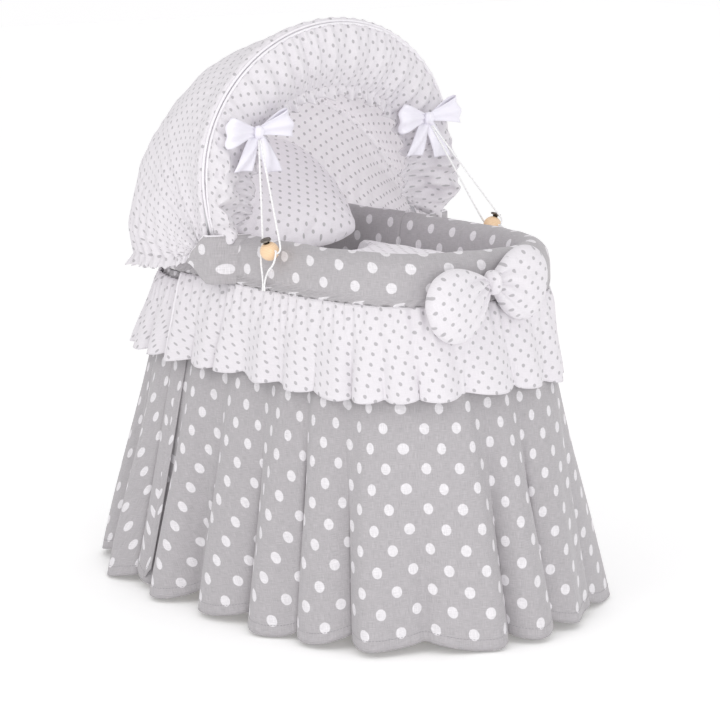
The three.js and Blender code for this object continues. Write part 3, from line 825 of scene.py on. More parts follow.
liner_profile = np.array(
    [
        (3, 600),
        (6, 608),
        (7, 628),
        (6, 648),
        (1, 672),
        (-10, 685),
        (-24, 691),
        (-38, 686),
        (-47, 672),
        (-51, 640),
    ]
    + [
        (-56, 596),
        (-65, 556),
        (-61, 551),
        (-54, 555),
        (-46, 590),
        (-39, 640),
        (-36, 662),
        (-28, 676),
        (-20, 676),
    ]
    + [(-13, 664), (-10, 640), (-10, 612), (-8, 601)]
) / 1000
closed = np.vstack([liner_profile, liner_profile[:1]])
profile = smooth_path(np.column_stack([closed, np.zeros(len(closed))]), 0.006)[:-1, :2]
around = np.concatenate([[0], np.cumsum(np.hypot(*np.diff(np.vstack([profile, profile[:1]]), axis=0).T))])
for end, columns in (("foot", 420), ("head", 320)):
    sections = []
    for outset, z in profile:
        outer = outset > -0.012
        split = HINGE_X + (0.0005 if end == "foot" else -0.0005)
        if outer and end == "foot":
            split = -0.059 - 0.078 * float(1 - ramp(z, 0.604, 0.617)) - 0.018 * float(ramp(z, 0.674, 0.680))
        if outer and end == "head":
            split = -0.099 - 0.026 * float(1 - ramp(z, 0.604, 0.617)) + 0.017 * float(ramp(z, 0.674, 0.680))
        directions, _ = round_the_rim(outset, split, end, columns)
        sections.append(np.column_stack([*oval(directions, outset), np.full(columns, z)]))
    sections = np.array(sections).transpose(1, 0, 2)
    outward = sections * (1, 1, 0)
    outward /= np.linalg.norm(outward, axis=2)[..., None]
    _, run = round_the_rim(-0.01, HINGE_X, end, columns)
    along = np.linspace(0, run, columns)[:, None]
    outer_side = ramp(profile[:, 0], -0.02, 0.0)[None, :] * ramp(profile[:, 1], 0.600, 0.612)[None, :]
    tucks = np.sin(
        along * 2 * math.pi / 0.021 + 2.4 * np.sin(along * 23)
    ) * ramp(-profile[:, 1], -0.640, -0.606)[None, :]
    dents = ripple(sections, 11, 2) * 0.0035 + ripple(sections, 30, 4) * 0.0016
    sections += outward * (outer_side * (tucks * 0.0013 - abs(dents) * 0.9))[..., None]
    crest = ramp(profile[:, 1], 0.655, 0.688)[None, :] * ramp(
        -abs(profile[:, 0] + 0.024), -0.03, -0.01
    )[None, :]
    sections[..., 2] += crest * dents * 0.8
    flat = np.stack(np.broadcast_arrays(along, around[None, :]), axis=-1)
    piece = lofted_piece(f"padded_liner_{end}", sections, flat, big_dots)
    fasten(piece, "stand_and_basket", f"liner_{end}")
    for edge, label in ((0, "left"), (-1, "right")):
        rim = sections[edge][: int(len(profile) * 0.24)]
        bound = tube_piece(f"liner_binding_{end}_{label}", smooth_path(rim, 0.004), 0.0028, binding, 8)
        fasten(bound, "stand_and_basket")

# The foot part's end flap stands out over each hinge, with its slanting edge bound in white.
FLAP_TIP_X, FLAP_ROOT_X = -0.118, -0.016
for side, sy in SIDES:
    x, share = np.meshgrid(np.linspace(FLAP_TIP_X, FLAP_ROOT_X, 40), np.linspace(0, 1, 24))
    low_edge = 0.6015 + 0.033 * ramp(-x, 0.050, 0.118)
    high_edge = 0.638 + 0.052 * np.clip((x - FLAP_TIP_X) / 0.052, 0, 1) ** 0.85
    z = low_edge + (high_edge - low_edge) * share
    out = np.interp(
        z, [0.600, 0.628, 0.648, 0.672, 0.685, 0.692], [0.2465, 0.2505, 0.2495, 0.2445, 0.234, 0.221]
    )
    out = out - 0.0055 + (0.2950 - out) * ramp(-x, 0.018, 0.056)
    grid = np.stack([x, sy * (out + 0.0012 * np.sin(x * 260 + share * 3) * share), z], axis=-1)
    flap = cloth_piece(f"liner_flap_{side}", grid, np.stack([x * sy, z], axis=-1), big_dots, -0.0035 * sy)
    diagonal = [grid[0, 0], *grid[4::6, 0], *grid[-1, ::4]]
    bound = tube_piece(f"liner_flap_binding_{side}", smooth_path(diagonal, 0.004), 0.0029, binding, 8)
    for piece in (flap, bound):
        fasten(piece, "stand_and_basket")

# ---- Skirt
# Grey big-dot cotton gathered into the seam under the liner, hanging in deep folds to a stitched
# hem at the floor.


def fold_phase(fractions, count, seed):
    """Where each point lies in a row of uneven folds, and how deep the fold there is."""
    chance = np.random.default_rng(seed)
    widths = chance.uniform(0.6, 1.4, count)
    edges = np.concatenate([[0], np.cumsum(widths) / widths.sum()])
    phase = np.interp(fractions, edges, np.arange(count + 1))
    depth = np.interp(phase, np.arange(0, count + 0.5, 0.5), chance.uniform(0.45, 1.15, 2 * count + 1))
    return phase * 2 * math.pi, depth


def hanging_cloth(end, columns, levels, folds, seed, depth_of, lean_of, fine_of, split_x, tuck_in):
    """Points of gathered cloth that hangs round one end. levels are (outset, z) from the seam down.
    tuck_in says how much closer than the oval its lowest edge hangs, at the head end and at the foot's
    far corner."""
    levels = np.asarray(levels, float)
    rows = len(levels)
    fractions = np.linspace(0, 1, columns)
    phase, depth = fold_phase(fractions, folds, seed)
    chance = np.random.default_rng(seed + 1)
    gather = fractions * 2 * math.pi * folds * 3.1 + 1.7 * np.sin(fractions * 61) + chance.uniform(0, 6)
    edge = ramp(np.minimum(fractions, 1 - fractions), 0, 0.012 if end == "foot" else 0.05)
    drift = chance.uniform(0, 6.28, 4)
    points = np.zeros((rows, columns, 3))
    for row, (outset, z) in enumerate(levels):
        v = row / (rows - 1)
        directions, run = round_the_rim(outset, split_x, end, columns)
        x, y = oval(directions, outset)
        tangent = np.column_stack([np.gradient(x), np.gradient(y)])
        tangent /= np.linalg.norm(tangent, axis=1)[:, None]
        normal = np.column_stack([tangent[:, 1], -tangent[:, 0]])
        swing = phase + 0.55 * v * np.sin(
            fractions * 37 + drift[0]
        ) + 0.25 * v * np.sin(fractions * 91 + drift[1])
        wave = np.cos(swing) + 0.22 * np.cos(2 * swing + 1.3 * np.sin(fractions * 53 + drift[2]))
        out = depth_of(v) * depth * wave * edge + fine_of(v) * np.sin(gather) * edge
        out -= v**1.5 * tuck_in[0] * ramp(-np.cos(directions), 0.15, 0.85)
        out -= v**1.5 * tuck_in[1] * ramp(
            np.sin(directions + math.radians(8)), 0.1, 0.6
        ) * ramp(np.cos(directions), 0, 0.5)
        lean = lean_of(v) * depth * np.sin(swing) * edge
        points[row, :, 0] = x + normal[:, 0] * out + tangent[:, 0] * lean
        points[row, :, 1] = y + normal[:, 1] * out + tangent[:, 1] * lean
        points[row, :, 2] = z
    lift = (0.5 - 0.5 * np.cos(phase)) * depth * edge
    return points, lift, fractions


def flat_cloth(points, middle, share=0.5):
    """Each point's place on the flat cloth, its width, its drop and its area, as a flared cut.
    share says how much a row's width follows the widest row."""
    runs = np.linalg.norm(np.diff(points, axis=1), axis=2)
    runs = np.concatenate([np.zeros((len(points), 1)), np.cumsum(runs, axis=1)], axis=1)
    middle_column = int(middle * (points.shape[1] - 1))
    runs -= runs[:, middle_column : middle_column + 1]
    across = share * runs[-1][None, :] + (1 - share) * runs
    steps = np.linalg.norm(np.diff(points.mean(axis=1), axis=0), axis=1)
    down = -np.concatenate([[0], np.cumsum(np.maximum(steps, 1e-6))])
    down = np.broadcast_to(down[:, None], runs.shape)
    widths, drop = runs[:, -1] - runs[:, 0], float(-down[-1, 0])
    return np.stack([across, down], axis=-1), float(widths.max()), drop, float(widths.mean()) * drop


skirt_levels = []
for t in np.linspace(0, 1, 64):
    z = 0.5965 - t * 0.5925
    outset = np.interp(z, [0.004, 0.435, 0.5965], [0.112, 0.022, -0.004])
    skirt_levels.append((outset, z))
LEG_X, LEG_CLEARANCE_Y = 0.24, 0.2545
skirt_hems = []
for end, columns, folds, seed in (("foot", 620, 13, 11), ("head", 360, 7, 23)):
    points, lift, fractions = hanging_cloth(
        end,
        columns,
        skirt_levels,
        folds,
        seed,
        lambda v: 0.0012 + 0.0030 * float(ramp(v, 0.02, 0.25)) + 0.0275 * float(ramp(v, 0.18, 1.05)),
        lambda v: 0.004 * float(ramp(v, 0.0, 0.25)) + 0.021 * float(ramp(v, 0.2, 1.0)),
        lambda v: 0.0014 * (1 - float(ramp(v, 0.03, 0.45))),
        SPLIT_X - 0.030 if end == "foot" else SPLIT_X + 0.020,
        (0.026, 0.014),
    )
    if end == "foot":
        lapped = 1 - ramp(np.minimum(fractions, 1 - fractions), 0.015, 0.04)
        points[..., :2] *= 1 + 0.010 * lapped[None, :, None] * np.linspace(0.2, 1, len(points))[:, None, None]
    low = np.linspace(0, 1, len(points))[:, None] ** 3
    corner = 0.03 * (1 - ramp(np.minimum(fractions, 1 - fractions) * columns, 0, 12)) ** 2
    rise = 0.020 * lift + 0.004 * (1 + np.sin(fractions * 29 + seed)) + corner
    points[..., 2] += low * rise[None, :]
    by_leg = np.exp(-(((abs(points[..., 0]) - LEG_X) / 0.036) ** 4)) * ramp(-points[..., 2], -0.480, -0.446)
    points[..., 1] += np.sign(points[..., 1]) * np.clip(
        LEG_CLEARANCE_Y - abs(points[..., 1]), 0, None
    ) * by_leg
    flat, width, drop, area = flat_cloth(points, 0.42 if end == "foot" else 0.5)
    piece = cloth_piece(f"skirt_cloth_{end}", points, flat, big_dots, 0.0012)
    fasten(piece, "stand_and_basket", f"skirt_{end}")
    skirt_hems.append(points[-3])



def stitch_row(tree, curves, given):
    """A short thread along the path at every step; the inputs are its spacing, length and radius."""
    row = link_nodes(tree, "GeometryNodeResampleCurve", {"Curve": curves, "Length": given[1]}, mode="LENGTH")
    thread = {"Vertices": 5, "Radius": given[3], "Depth": given[2]}
    thread = link_nodes(tree, "GeometryNodeMeshCylinder", thread, fill_type="TRIANGLE_FAN")
    heading = link_nodes(tree, "GeometryNodeInputTangent")
    turn = link_nodes(tree, "FunctionNodeAlignRotationToVector", {"Vector": heading.outputs[0]}, axis="Z")
    placed = {"Points": row.outputs[0], "Instance": thread.outputs[0], "Rotation": turn.outputs[0]}
    return link_nodes(tree, "GeometryNodeInstanceOnPoints", placed)


grey_thread = cloth_material("grey thread", (0.30, 0.29, 0.31, 1), slubs=0.1, bump=0.2)
thread_sizes = {"Spacing": 0.006, "Stitch length": 0.0036, "Thread radius": 0.0005}
hem_stitches = grown_piece("skirt_stitches", skirt_hems, thread_sizes, stitch_row, grey_thread)
fasten(hem_stitches, "stand_and_basket")

# ---- Ruffle
# A flounce of pin-dot cotton over the top of the skirt, finely gathered at the seam and bound at its slits.
for end, columns, folds, seed in (("foot", 720, 19, 31), ("head", 420, 11, 41)):
    top = 0.6015 if end == "foot" else 0.584
    ruffle_levels = [
        (
            np.interp(t, [0, 0.12, 1], [0.0045, 0.012, 0.044]), top - t * (top - 0.438)
        ) for t in np.linspace(0, 1, 30)
    ]
    points, lift, fractions = hanging_cloth(
        end,
        columns,
        ruffle_levels,
        folds,
        seed,
        lambda v: 0.0008 + 0.0125 * float(ramp(v, 0.02, 1.0)),
        lambda v: 0.0125 * float(ramp(v, 0.05, 1.0)),
        lambda v: 0.0028 * (1 - float(ramp(v, 0.06, 0.60))),
        SPLIT_X - 0.012 if end == "foot" else SPLIT_X + 0.012,
        (-0.004, 0.014),
    )
    if end == "foot":
        lapped = 1 - ramp(np.minimum(fractions, 1 - fractions), 0.008, 0.02)
        points[..., :2] *= 1 + 0.014 * lapped[None, :, None]
    low = np.linspace(0, 1, len(points))[:, None] ** 2
    points[..., 2] += low * (0.008 * lift + 0.004 * np.sin(fractions * 17 + seed))[None, :]
    flat, width, drop, area = flat_cloth(points, 0.42 if end == "foot" else 0.5, 0.35)
    piece = cloth_piece(f"ruffle_cloth_{end}", points, flat, pin_dots, 0.0009)
    fasten(piece, "stand_and_basket", f"ruffle_{end}")
    for column, label in ((0, "left"), (-1, "right")):
        bound = tube_piece(
            f"ruffle_binding_{end}_{label}", smooth_path(points[:, column], 0.004), 0.0022, binding, 8
        )
        fasten(bound, "stand_and_basket")

# ---- Stuffed bow
# Two padded lobes of pin-dot cotton drawn together by a knot, sewn to the liner at the foot end.
BOW_X, KNOT_Y, KNOT_Z = 0.451, -0.042, 0.643


def bow_lobe(name, out_y, out_z, length, seed):
    """A pinched, filled lobe: flat coordinates lie in its own plane, from the knot outwards."""
    reach = math.hypot(out_y, out_z)
    along = np.array((0, out_y / reach, out_z / reach))
    up = np.array((0, -along[2], along[1])) * (1 if out_y > 0 else -1)
    forward = np.array((1.0, 0, 0))
    rows, columns = 44, 72
    points = np.zeros((rows, columns, 3))
    flat = np.zeros((rows, columns + 1, 2))
    for i, t in enumerate(np.linspace(0.0, 1.0, rows)):
        r = 0.5 - 0.5 * math.cos(math.pi * t)
        half = 0.011 + 0.056 * math.sin(math.pi / 2 * min(1, r / 0.58)) ** 0.9
        half *= math.sqrt(max(0.0, 1 - max(0, (r - 0.56) / 0.44) ** 2.4))
        thick = 0.009 + 0.020 * math.sin(math.pi / 2 * min(1, r / 0.5))
        thick *= math.sqrt(max(0.0, 1 - max(0, (r - 0.6) / 0.4) ** 2.2))
        half, thick = max(half, 0.0008), max(thick, 0.0008)
        deep = float(ramp(r, 0.0, 0.06) * (1 - ramp(r, 0.22, 0.78)))
        for j in range(columns + 1):
            turn = 2 * math.pi * j / columns
            c, d = math.cos(turn), math.sin(turn)
            k = (abs(c) ** 2.3 + abs(d) ** 2.3) ** (1 / 2.3)
            c, d = c / k, d / k
            sway = 0.1 * math.sin(5 * r + seed)
            groove = sum(math.exp(-(((c - at - sway) / 0.11) ** 2)) for at in (-0.55, -0.05, 0.48))
            if j < columns:
                front = forward * (thick * d - 0.0085 * deep * groove * d)
                points[i, j] = along * (0.006 + length * r) + up * half * c + front
            flat[i, j] = (length * r + seed * 0.13, half * c)
    points += np.array((BOW_X, KNOT_Y, KNOT_Z))
    rumple = ripple(points, 38, seed) * 0.0022 + ripple(points, 80, seed + 2) * 0.0008
    points += rumple[..., None] * forward
    if out_y < 0:
        points = points[:, ::-1]
        flat = flat[:, ::-1]
    piece = lofted_piece(f"stuffed_{name}", points, flat, pin_dots)
    fasten(piece, "stand_and_basket", name)


bow_lobe("bow_lobe_left", -0.073, -0.031, 0.144, 1)
bow_lobe("bow_lobe_right", 0.061, -0.006, 0.124, 2)
rows, columns = 26, 40
points, flat = np.zeros((rows, columns, 3)), np.zeros((rows, columns + 1, 2))
for i, t in enumerate(np.linspace(-1, 1, rows)):
    swell = math.sqrt(max(0.002, 1 - abs(t) ** 3.2))
    for j in range(columns + 1):
        turn = 2 * math.pi * j / columns
        pleat = 1 + 0.05 * math.sin(turn * 8 + 0.8 * math.sin(3 * t)) * (1 - t * t)
        y, x = 0.0115 * math.cos(turn) * swell * pleat * (
            0.86 + 0.14 * t * t
        ), 0.021 * math.sin(turn) * swell * pleat
        if j < columns:
            points[i, j] = (BOW_X + 0.007 + x, KNOT_Y + y, KNOT_Z + 0.0225 * t)
        flat[i, j] = (0.016 * turn, 0.028 * t)
knot = lofted_piece("stuffed_bow_knot", points, flat, pin_dots)
fasten(knot, "stand_and_basket", "bow_knot")

# ---- Hood frame
# Two bent steel rods on pivot bolts, in steel blocks let into the slit of the liner.
zinc = mottled_material(
    "zinc plate",
    (0.50, 0.51, 0.52, 1),
    (0.74, 0.75, 0.76, 1),
    0.38,
    {"Scale": 180.0, "Detail": 5.0},
    gloss=(0.28, 0.5),
    Metallic=1.0,
)
for side, _ in SIDES:
    dress(f"hinge_block_{side}", zinc)
    dress(f"pivot_bolt_{side}", zinc)
dress("hood_hoop_front", zinc)
dress("hood_hoop_mid", zinc)

# ---- Hood canopy
# One sheet of pin-dot cotton over both rods, from the piping at the front to an elastic edge below
# the basket's rim.
PIVOT = np.array((-0.079, 0.0, 0.645))
HOOP_ANGLE, MID_ANGLE, LEG_SHARE = 94.5, 48.0, 0.2


def arch_points(arch, angle, shares):
    """A horseshoe in the plane through the pivots at an angle; shares run from -1 at the left foot to 1
    at the right."""
    top, width, foot_width, foot, waist, power = arch
    along = np.abs(shares)
    up = np.clip((1 - along) / LEG_SHARE, 0, 1)
    turn = np.clip((math.pi / 2) * along / (1 - LEG_SHARE), 0, math.pi / 2)
    c, s = np.cos(turn), np.sin(turn)
    k = (np.abs(c) ** power + s**power) ** (1 / power)
    leg = along > 1 - LEG_SHARE
    reach = np.where(leg, foot + (waist - foot) * up, waist + (top - waist) * c / k)
    out = np.where(leg, foot_width + (width - foot_width) * np.sin(math.pi / 2 * up), width * s / k)
    lean = math.radians(angle)
    return np.column_stack(
        [PIVOT[0] - reach * math.cos(lean), np.sign(shares) * out, PIVOT[2] + reach * math.sin(lean)]
    )


canopy_rows = np.array(
    [
        (-4, 352, 276, 90, 3),
        (8, 369, 288, 110, 2.8),
        (25, 380, 286, 130, 2.5),
        (48, 383, 272, 150, 2.5),
        (70, 394, 276, 160, 2.5),
        (85, 410, 286, 168, 2.1),
        (93.5, 432, 298, 168, 2),
    ]
)


def canopy_arch(angle, outset):
    top, width, waist, power = (np.interp(angle, canopy_rows[:, 0], canopy_rows[:, k]) for k in (1, 2, 3, 4))
    return ((top + outset) / 1000, (width + outset) / 1000, (275 + outset) / 1000, 0.017, waist / 1000, power)


shares = np.linspace(-1, 1, 300)
angles = np.linspace(93.5, -4, 84)
points = np.stack([arch_points(canopy_arch(angle, 2.5), angle, shares) for angle in angles])
middle_line = np.array((PIVOT[0] - 0.06, 0, PIVOT[2] + 0.10))
outward = points - middle_line
outward /= np.linalg.norm(outward, axis=2)[..., None]
from_front = ((93.5 - angles) / 97.5)[:, None]
from_foot = (1 - np.abs(shares))[None, :]
arc = np.concatenate([[0], np.cumsum(np.linalg.norm(np.diff(points[20], axis=0), axis=1))])[None, :]
front_gather = np.sin(arc * 2 * math.pi / 0.026 + 2.2 * np.sin(arc * 19)) * np.exp(-from_front / 0.10)
edge_gather = np.sin(arc * 2 * math.pi / 0.030 + 2.8 * np.sin(arc * 23)) * np.exp(-(1 - from_front) / 0.16)
spokes = np.sin(from_front * 46 + 2.5 * np.sin(from_front * 13)) * np.exp(-((from_foot / 0.30) ** 1.3))
slack = ripple(points, 7, 8) * 0.0075 + ripple(points, 17, 9) * 0.0052
sleeve = np.exp(-(((angles[:, None] - 48) / 1.3) ** 2))
press = ramp(from_foot, 0.0, 0.05)
relief = 0.0035 * front_gather + 0.0085 * edge_gather + 0.0085 * spokes * press * np.sin(
    np.pi * np.clip(from_front, 0.02, 1)
)
relief = relief + slack * np.sin(np.pi * np.clip(from_front * 0.94 + 0.03, 0, 1)) + 0.0025 * sleeve - 0.001
points += outward * np.maximum(
    relief, -0.0012 - 0.004 * (from_front > 0.06) * (np.abs(angles[:, None] - 48) > 6)
)[..., None]
nose = arch_points((0.4335, 0.2980, 0.272, 0.018, 0.168, 2), HOOP_ANGLE, shares) + (0.006, 0, 0)
nose = [
    points[0] + (nose - points[0]) * t + outward[0] * 0.003 * math.sin(math.pi * t)
    for t in (1.0, 0.75, 0.5, 0.25)
]
near_foot = np.exp(-((from_foot[0] / 0.16) ** 2))
points[-1] += np.array((0, 0, 0.012)) * near_foot[:, None]
drawn = points[-1]
frill = []
for t in np.linspace(0.15, 1, 8):
    wave = np.sin(arc[0] * 2 * math.pi / 0.034 + 1.9 * np.sin(arc[0] * 27) + 0.8 * t)
    away = outward[-1] * (1, 1, 0)
    away /= np.linalg.norm(away, axis=1)[:, None]
    reach = t * (1 - 0.6 * near_foot)
    frill.append(
        drawn + away * (reach * (0.010 + 0.0075 * wave))[:, None] - np.outer(0.024 * reach, (0, 0, 1))
    )
points = np.concatenate([np.array(nose), points, np.array(frill)])
steps = np.linalg.norm(np.diff(points, axis=0), axis=2)
down = -np.concatenate([np.zeros((1, len(shares))), np.cumsum(steps, axis=0)])
down = 0.5 * down + 0.5 * down[:, 150:151]
across = np.broadcast_to((arc - arc[0, 150]), down.shape) * 1.15
flat = np.stack([across, down], axis=-1)
canopy = cloth_piece("canopy_cloth", points, flat, pin_dots, 0.0012)
# Faces turned inward take the inner-face copy of the cotton, with its painted shade and painted glow.
canopy.data.materials.append(lining_painted_shade_and_glow)
for face in canopy.data.polygons:
    face.material_index = int(face.normal.dot(face.center - Vector(middle_line)) < 0)


def fold_with_hood(piece):
    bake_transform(piece)


fold_with_hood(canopy)
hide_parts("hood_canopy")
area = float(
    np.linalg.norm(
        np.cross(points[1:, :-1] - points[:-1, :-1], points[:-1, 1:] - points[:-1, :-1]), axis=2
    ).sum()
)
width, length = float(arc[0, -1]) * 1.15, float(-down[-1].min())

# Each rod runs in a narrow sleeve sewn to the canopy.
for label, arch, angle, cloth in (
    ("front", (0.427, 0.293, 0.2635, 0.030, 0.168, 2), HOOP_ANGLE, binding),
    # The mid sleeve also takes that copy of the cotton, with its painted shade and painted glow.
    ("mid", (0.377, 0.264, 0.256, 0.030, 0.140, 2.5), MID_ANGLE, lining_painted_shade_and_glow),
):
    sleeve = tube_piece(
        f"hoop_sleeve_{label}", arch_points(arch, angle, np.linspace(-0.9, 0.9, 150)), 0.0050, cloth, 12
    )
    fasten(sleeve, f"hood_{label}")

# ---- Hood band
# A gathered facing inside the front rod: pin-dot cotton drawn in by elastic, with a frill past the elastic.
band_outer = (0.4285, 0.2915, 0.268, 0.030, 0.168, 2)
band_inner = (0.312, 0.204, 0.232, 0.050, 0.125, 2.2)
tilt = math.radians(HOOP_ANGLE - 90)
forward = np.array((math.cos(tilt), 0, -math.sin(tilt)))
shares = np.linspace(-1, 1, 640)
outer, inner = arch_points(band_outer, HOOP_ANGLE, shares), arch_points(band_inner, HOOP_ANGLE, shares)
arc = np.concatenate([[0], np.cumsum(np.linalg.norm(np.diff(0.5 * (outer + inner), axis=0), axis=1))])
low = ramp(np.abs(shares), 0.52, 0.86)
pleats = np.sin(arc * 2 * math.pi / 0.021 + 3.3 * np.sin(arc * 31) + 2.4 * np.sin(arc * 12))
wide_pleats = np.sin(arc * 2 * math.pi / 0.047 + 2.6 * np.sin(arc * 17))
inward = inner - outer
inward /= np.linalg.norm(inward, axis=1)[:, None]
rows = []
for mix in np.linspace(0, 1, 26):
    centre = outer + (inner - outer) * mix
    crown = 0.004 + 0.022 * math.sin(math.pi * (0.06 + 0.88 * mix)) + low * 0.026 * math.sin(math.pi * mix)
    drawn_in = 0.25 + 0.75 * abs(2 * mix - 1) ** 1.5
    fold = 0.0027 * drawn_in * pleats + (0.0006 + 0.0034 * math.sin(math.pi * mix)) * wide_pleats
    rows.append(centre + forward * (0.005 + crown + fold)[:, None])
for t in np.linspace(0.12, 1, 9):
    flutter = np.sin(arc * 2 * math.pi / 0.026 + 2.6 * np.sin(arc * 21) + 0.5 * t) * (1 - 0.55 * low)
    reach = 0.024 * t * (1 + 0.22 * np.sin(arc * 2 * math.pi / 0.030 * 0.5 + 2))
    lift = 0.010 + 0.004 * t + 0.0078 * t * flutter + 0.0012 * pleats * (1 - t)
    rows.append(inner + inward * reach[:, None] + forward * lift[:, None])
points = np.array(rows)
rumple = (ripple(points, 22, 12) * 0.0048 + ripple(points, 46, 13) * 0.0040) * (0.40 + 3.0 * low)[None, :]
hold = np.sin(np.pi * np.linspace(0.12, 1, len(points)).clip(0, 0.9))[:, None]
points += forward * (rumple * hold)[..., None]
bulge = np.sin(np.pi * np.linspace(0, 0.85, 26))[:, None] * (
    low * ramp(1 - np.abs(shares), 0.0, 0.12)
)[None, :]
points[:26] += np.array((0, 1, 0)) * (
    np.sign(shares)[None, :] * bulge * (0.034 + ripple(points[:26], 34, 15) * 0.026)
)[..., None]
steps = np.linalg.norm(np.diff(points, axis=0), axis=2).mean(axis=1)
down = np.broadcast_to(-np.concatenate([[0], np.cumsum(steps)])[:, None], points.shape[:2])
across = np.broadcast_to(((arc - arc[320]) * 1.45)[None, :], points.shape[:2])
band = cloth_piece(
    "band_cloth", points[:, ::-1], np.stack([across, down], axis=-1)[:, ::-1], pin_dots, -0.0010
)
fasten(band, "hood_front", "hood_band")

# ---- Piping
# Two rows of plain white piping along the front rod, between the canopy and the band.
for row, (top, width, out) in enumerate(((0.4325, 0.2965, 0.0075), (0.4275, 0.2915, 0.0125))):
    path = arch_points(
        (top, width, 0.268, 0.036, 0.168, 2), HOOP_ANGLE, np.linspace(-1, 1, 160)
    ) + (out, 0, 0)
    piece = tube_piece(f"piping_row_{row + 1}", path, 0.0027, binding, 10)
    fasten(piece, "hood_front")
    if row == 0:
        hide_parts("hood_piping")

# ---- Satin bows
# A bow of white satin ribbon on each side of the band: two loops, two slanting tails and a tight knot.
satin, tree, shader = new_material(
    "white satin", 0.30, Sheen_Weight=0.35, Sheen_Roughness=0.3, Anisotropic=0.5
)
flat_place = link_nodes(tree, "ShaderNodeUVMap", uv_map="flat").outputs[0]
fine = link_nodes(tree, "ShaderNodeVectorMath", {0: flat_place, 1: (80.0, 2600.0, 0)}, operation="MULTIPLY")
weft = link_nodes(tree, "ShaderNodeTexNoise", {"Vector": fine.outputs[0], "Scale": 1.0, "Detail": 2.0})
color = link_nodes(
    tree, "ShaderNodeMix", {
        "Factor": weft.outputs[0], 6: (0.82, 0.80, 0.89, 1), 7: (0.90, 0.88, 0.94, 1)
    }, data_type="RGBA"
)
tree.links.new(color.outputs[2], shader.inputs["Base Color"])
bump = link_nodes(tree, "ShaderNodeBump", {"Strength": 0.2, "Distance": 0.0003, "Height": weft.outputs[0]})
tree.links.new(bump.outputs[0], shader.inputs["Normal"])
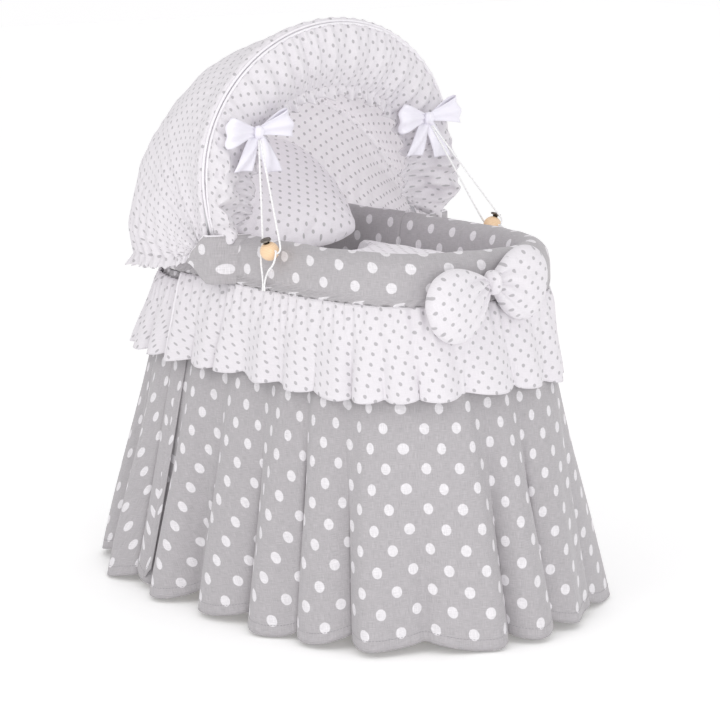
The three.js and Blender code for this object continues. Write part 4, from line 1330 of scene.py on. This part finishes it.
for side, sy in SIDES:
    knot_place = np.array((-0.016, sy * 0.206, 0.882))
    parts = []
    for out, rise, size in ((-1, 0.12, 1.0), (1, 0.30, 0.98)):
        direction = np.array((0.0, out * math.cos(rise), math.sin(rise)))
        up = np.array((0.0, -direction[2] * out, direction[1] * out))
        rows = []
        for t in np.linspace(0, 1, 40):
            swing = math.sin(math.pi * t)
            reach = 0.005 + 0.071 * size * swing**0.7
            depth = 0.006 + 0.011 * math.sin(2 * math.pi * t) * (1 if t < 0.5 else 0.75) + 0.006 * swing
            half = 0.008 + 0.021 * swing**0.8
            sag = -0.006 * swing
            across = np.linspace(-1, 1, 14)[:, None]
            curl = 0.0030 * np.cos(across * 5.5 + 2 * t) * (0.4 + swing)
            bow_out = np.array((1.0, 0, 0)) * (depth + curl)
            edge_out = direction * (reach - 0.006 * swing * across**2)
            rows.append(knot_place + edge_out + up * (half * across + sag) + bow_out)
        flat = [[(0.18 * t, 0.024 * a) for a in np.linspace(-1, 1, 14)] for t in np.linspace(0, 1, 40)]
        parts.append(
            cloth_piece(f"satin_loop_{side}_{'in' if out * sy < 0 else 'out'}", rows, flat, satin, 0.0006)
        )
    for out, reach, hang in ((-1, 0.040, 0.066), (1, 0.030, 0.072)):
        rows = []
        for t in np.linspace(0, 1, 26):
            across = np.linspace(-1, 1, 12)[:, None]
            half = 0.007 + 0.0165 * t**0.6
            middle = knot_place + np.array(
                (0.004 + 0.010 * math.sin(2.4 * t), out * reach * t**0.8, -0.004 - hang * t)
            )
            slant = np.array((0.0, math.cos(out * 0.45), math.sin(out * 0.45)))
            cut_back = -0.010 * t * (out * across)
            curl = 0.0035 * np.sin(across * 3 + 4 * t)
            cut, bow_out = np.array((0, 0, 1.0)) * cut_back, np.array((1.0, 0, 0)) * curl
            rows.append(middle + slant * half * across + cut + bow_out)
        flat = [[(0.07 * t, 0.018 * a) for a in np.linspace(-1, 1, 12)] for t in np.linspace(0, 1, 26)]
        parts.append(
            cloth_piece(f"satin_tail_{side}_{'in' if out * sy < 0 else 'out'}", rows, flat, satin, 0.0006)
        )
    rows, flat = [], []
    for t in np.linspace(-1, 1, 18):
        swell = math.sqrt(max(0.003, 1 - abs(t) ** 3))
        turn = np.linspace(0, 2 * math.pi, 28, endpoint=False)
        pleat = 1 + 0.06 * np.sin(turn * 7 + t)
        ring = np.column_stack(
            [0.0105 * np.sin(turn) * pleat, 0.0095 * np.cos(turn) * pleat, np.zeros(28)]
        ) * swell
        rows.append(ring + knot_place + np.array((0.008, 0, 0.0125 * t)))
        flat.append([(0.01 * a, 0.014 * t) for a in np.linspace(0, 2 * math.pi, 29)])
    parts.append(lofted_piece(f"satin_knot_{side}", rows, flat, satin))
    for piece in parts:
        fasten(piece, "hood_front")
        if "knot" not in piece.name:
            size = (0.165, 0.047) if "loop" in piece.name else (0.072, 0.034)
    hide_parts(f"satin_bow_{side}")

# ---- Cord locks
# A bored beech ball with a sprung plunger; the plunger's domed cap is dark plated metal.
beech = wood_material("beech", (0.92, 0.69, 0.46, 1), (0.80, 0.54, 0.32, 1), 120.0, 0.42)
plate = mottled_material(
    "dark plate", (0.10, 0.09, 0.08, 1), (0.34, 0.31, 0.28, 1), 0.36, {
        "Scale": 320.0, "Detail": 4.0
    }, Metallic=1.0
)


def turned_piece(name, profile, place, tilt_x, material, count=40):
    """A turned solid from (radius, height) points about its own upright axis, tilted about X and put in
    place."""
    turns = np.linspace(0, 2 * math.pi, count, endpoint=False)
    sections = np.array(
        [np.column_stack([r * np.cos(turns), r * np.sin(turns), np.full(count, z)]) for r, z in profile]
    )
    turn = np.array(Matrix.Rotation(tilt_x, 3, "X"))
    sections = sections @ turn.T + np.array(place)
    flat = np.zeros((len(profile), count + 1, 2))
    return lofted_piece(name, sections, flat, material)


for side, sy in SIDES:
    place = (LOCK_PLACE[0], sy * LOCK_PLACE[1], LOCK_PLACE[2])
    ball_profile = [
        (0.0175 * math.sin(a), -0.0175 * math.cos(a)) for a in np.linspace(0.02, math.pi - 0.33, 26)
    ]
    ball_profile += [(0.0054, 0.0160), (0.0054, 0.004), (0.0001, 0.004)]
    ball = turned_piece(f"lock_ball_{side}", ball_profile, place, -sy * LOCK_TILT, beech)
    fasten(ball, f"cord_lock_{side}", f"cord_lock_ball_{side}")
    cap_profile = [(0.0001, 0.0084), (0.0048, 0.0086), (0.0048, 0.0208), (0.0092, 0.0210), (0.0100, 0.0216)]
    cap_profile += [
        (0.0101, 0.0228),
        (0.0096, 0.0240),
        (0.0070, 0.0250),
        (0.0052, 0.0247),
        (0.0046, 0.0236),
        (0.0001, 0.0234),
    ]
    cap = turned_piece(f"lock_cap_{side}", cap_profile, place, -sy * LOCK_TILT, plate)
    fasten(cap, f"plunger_{side}", f"cord_lock_plunger_{side}")
    dress(f"cord_lock_spring_{side}", plate)
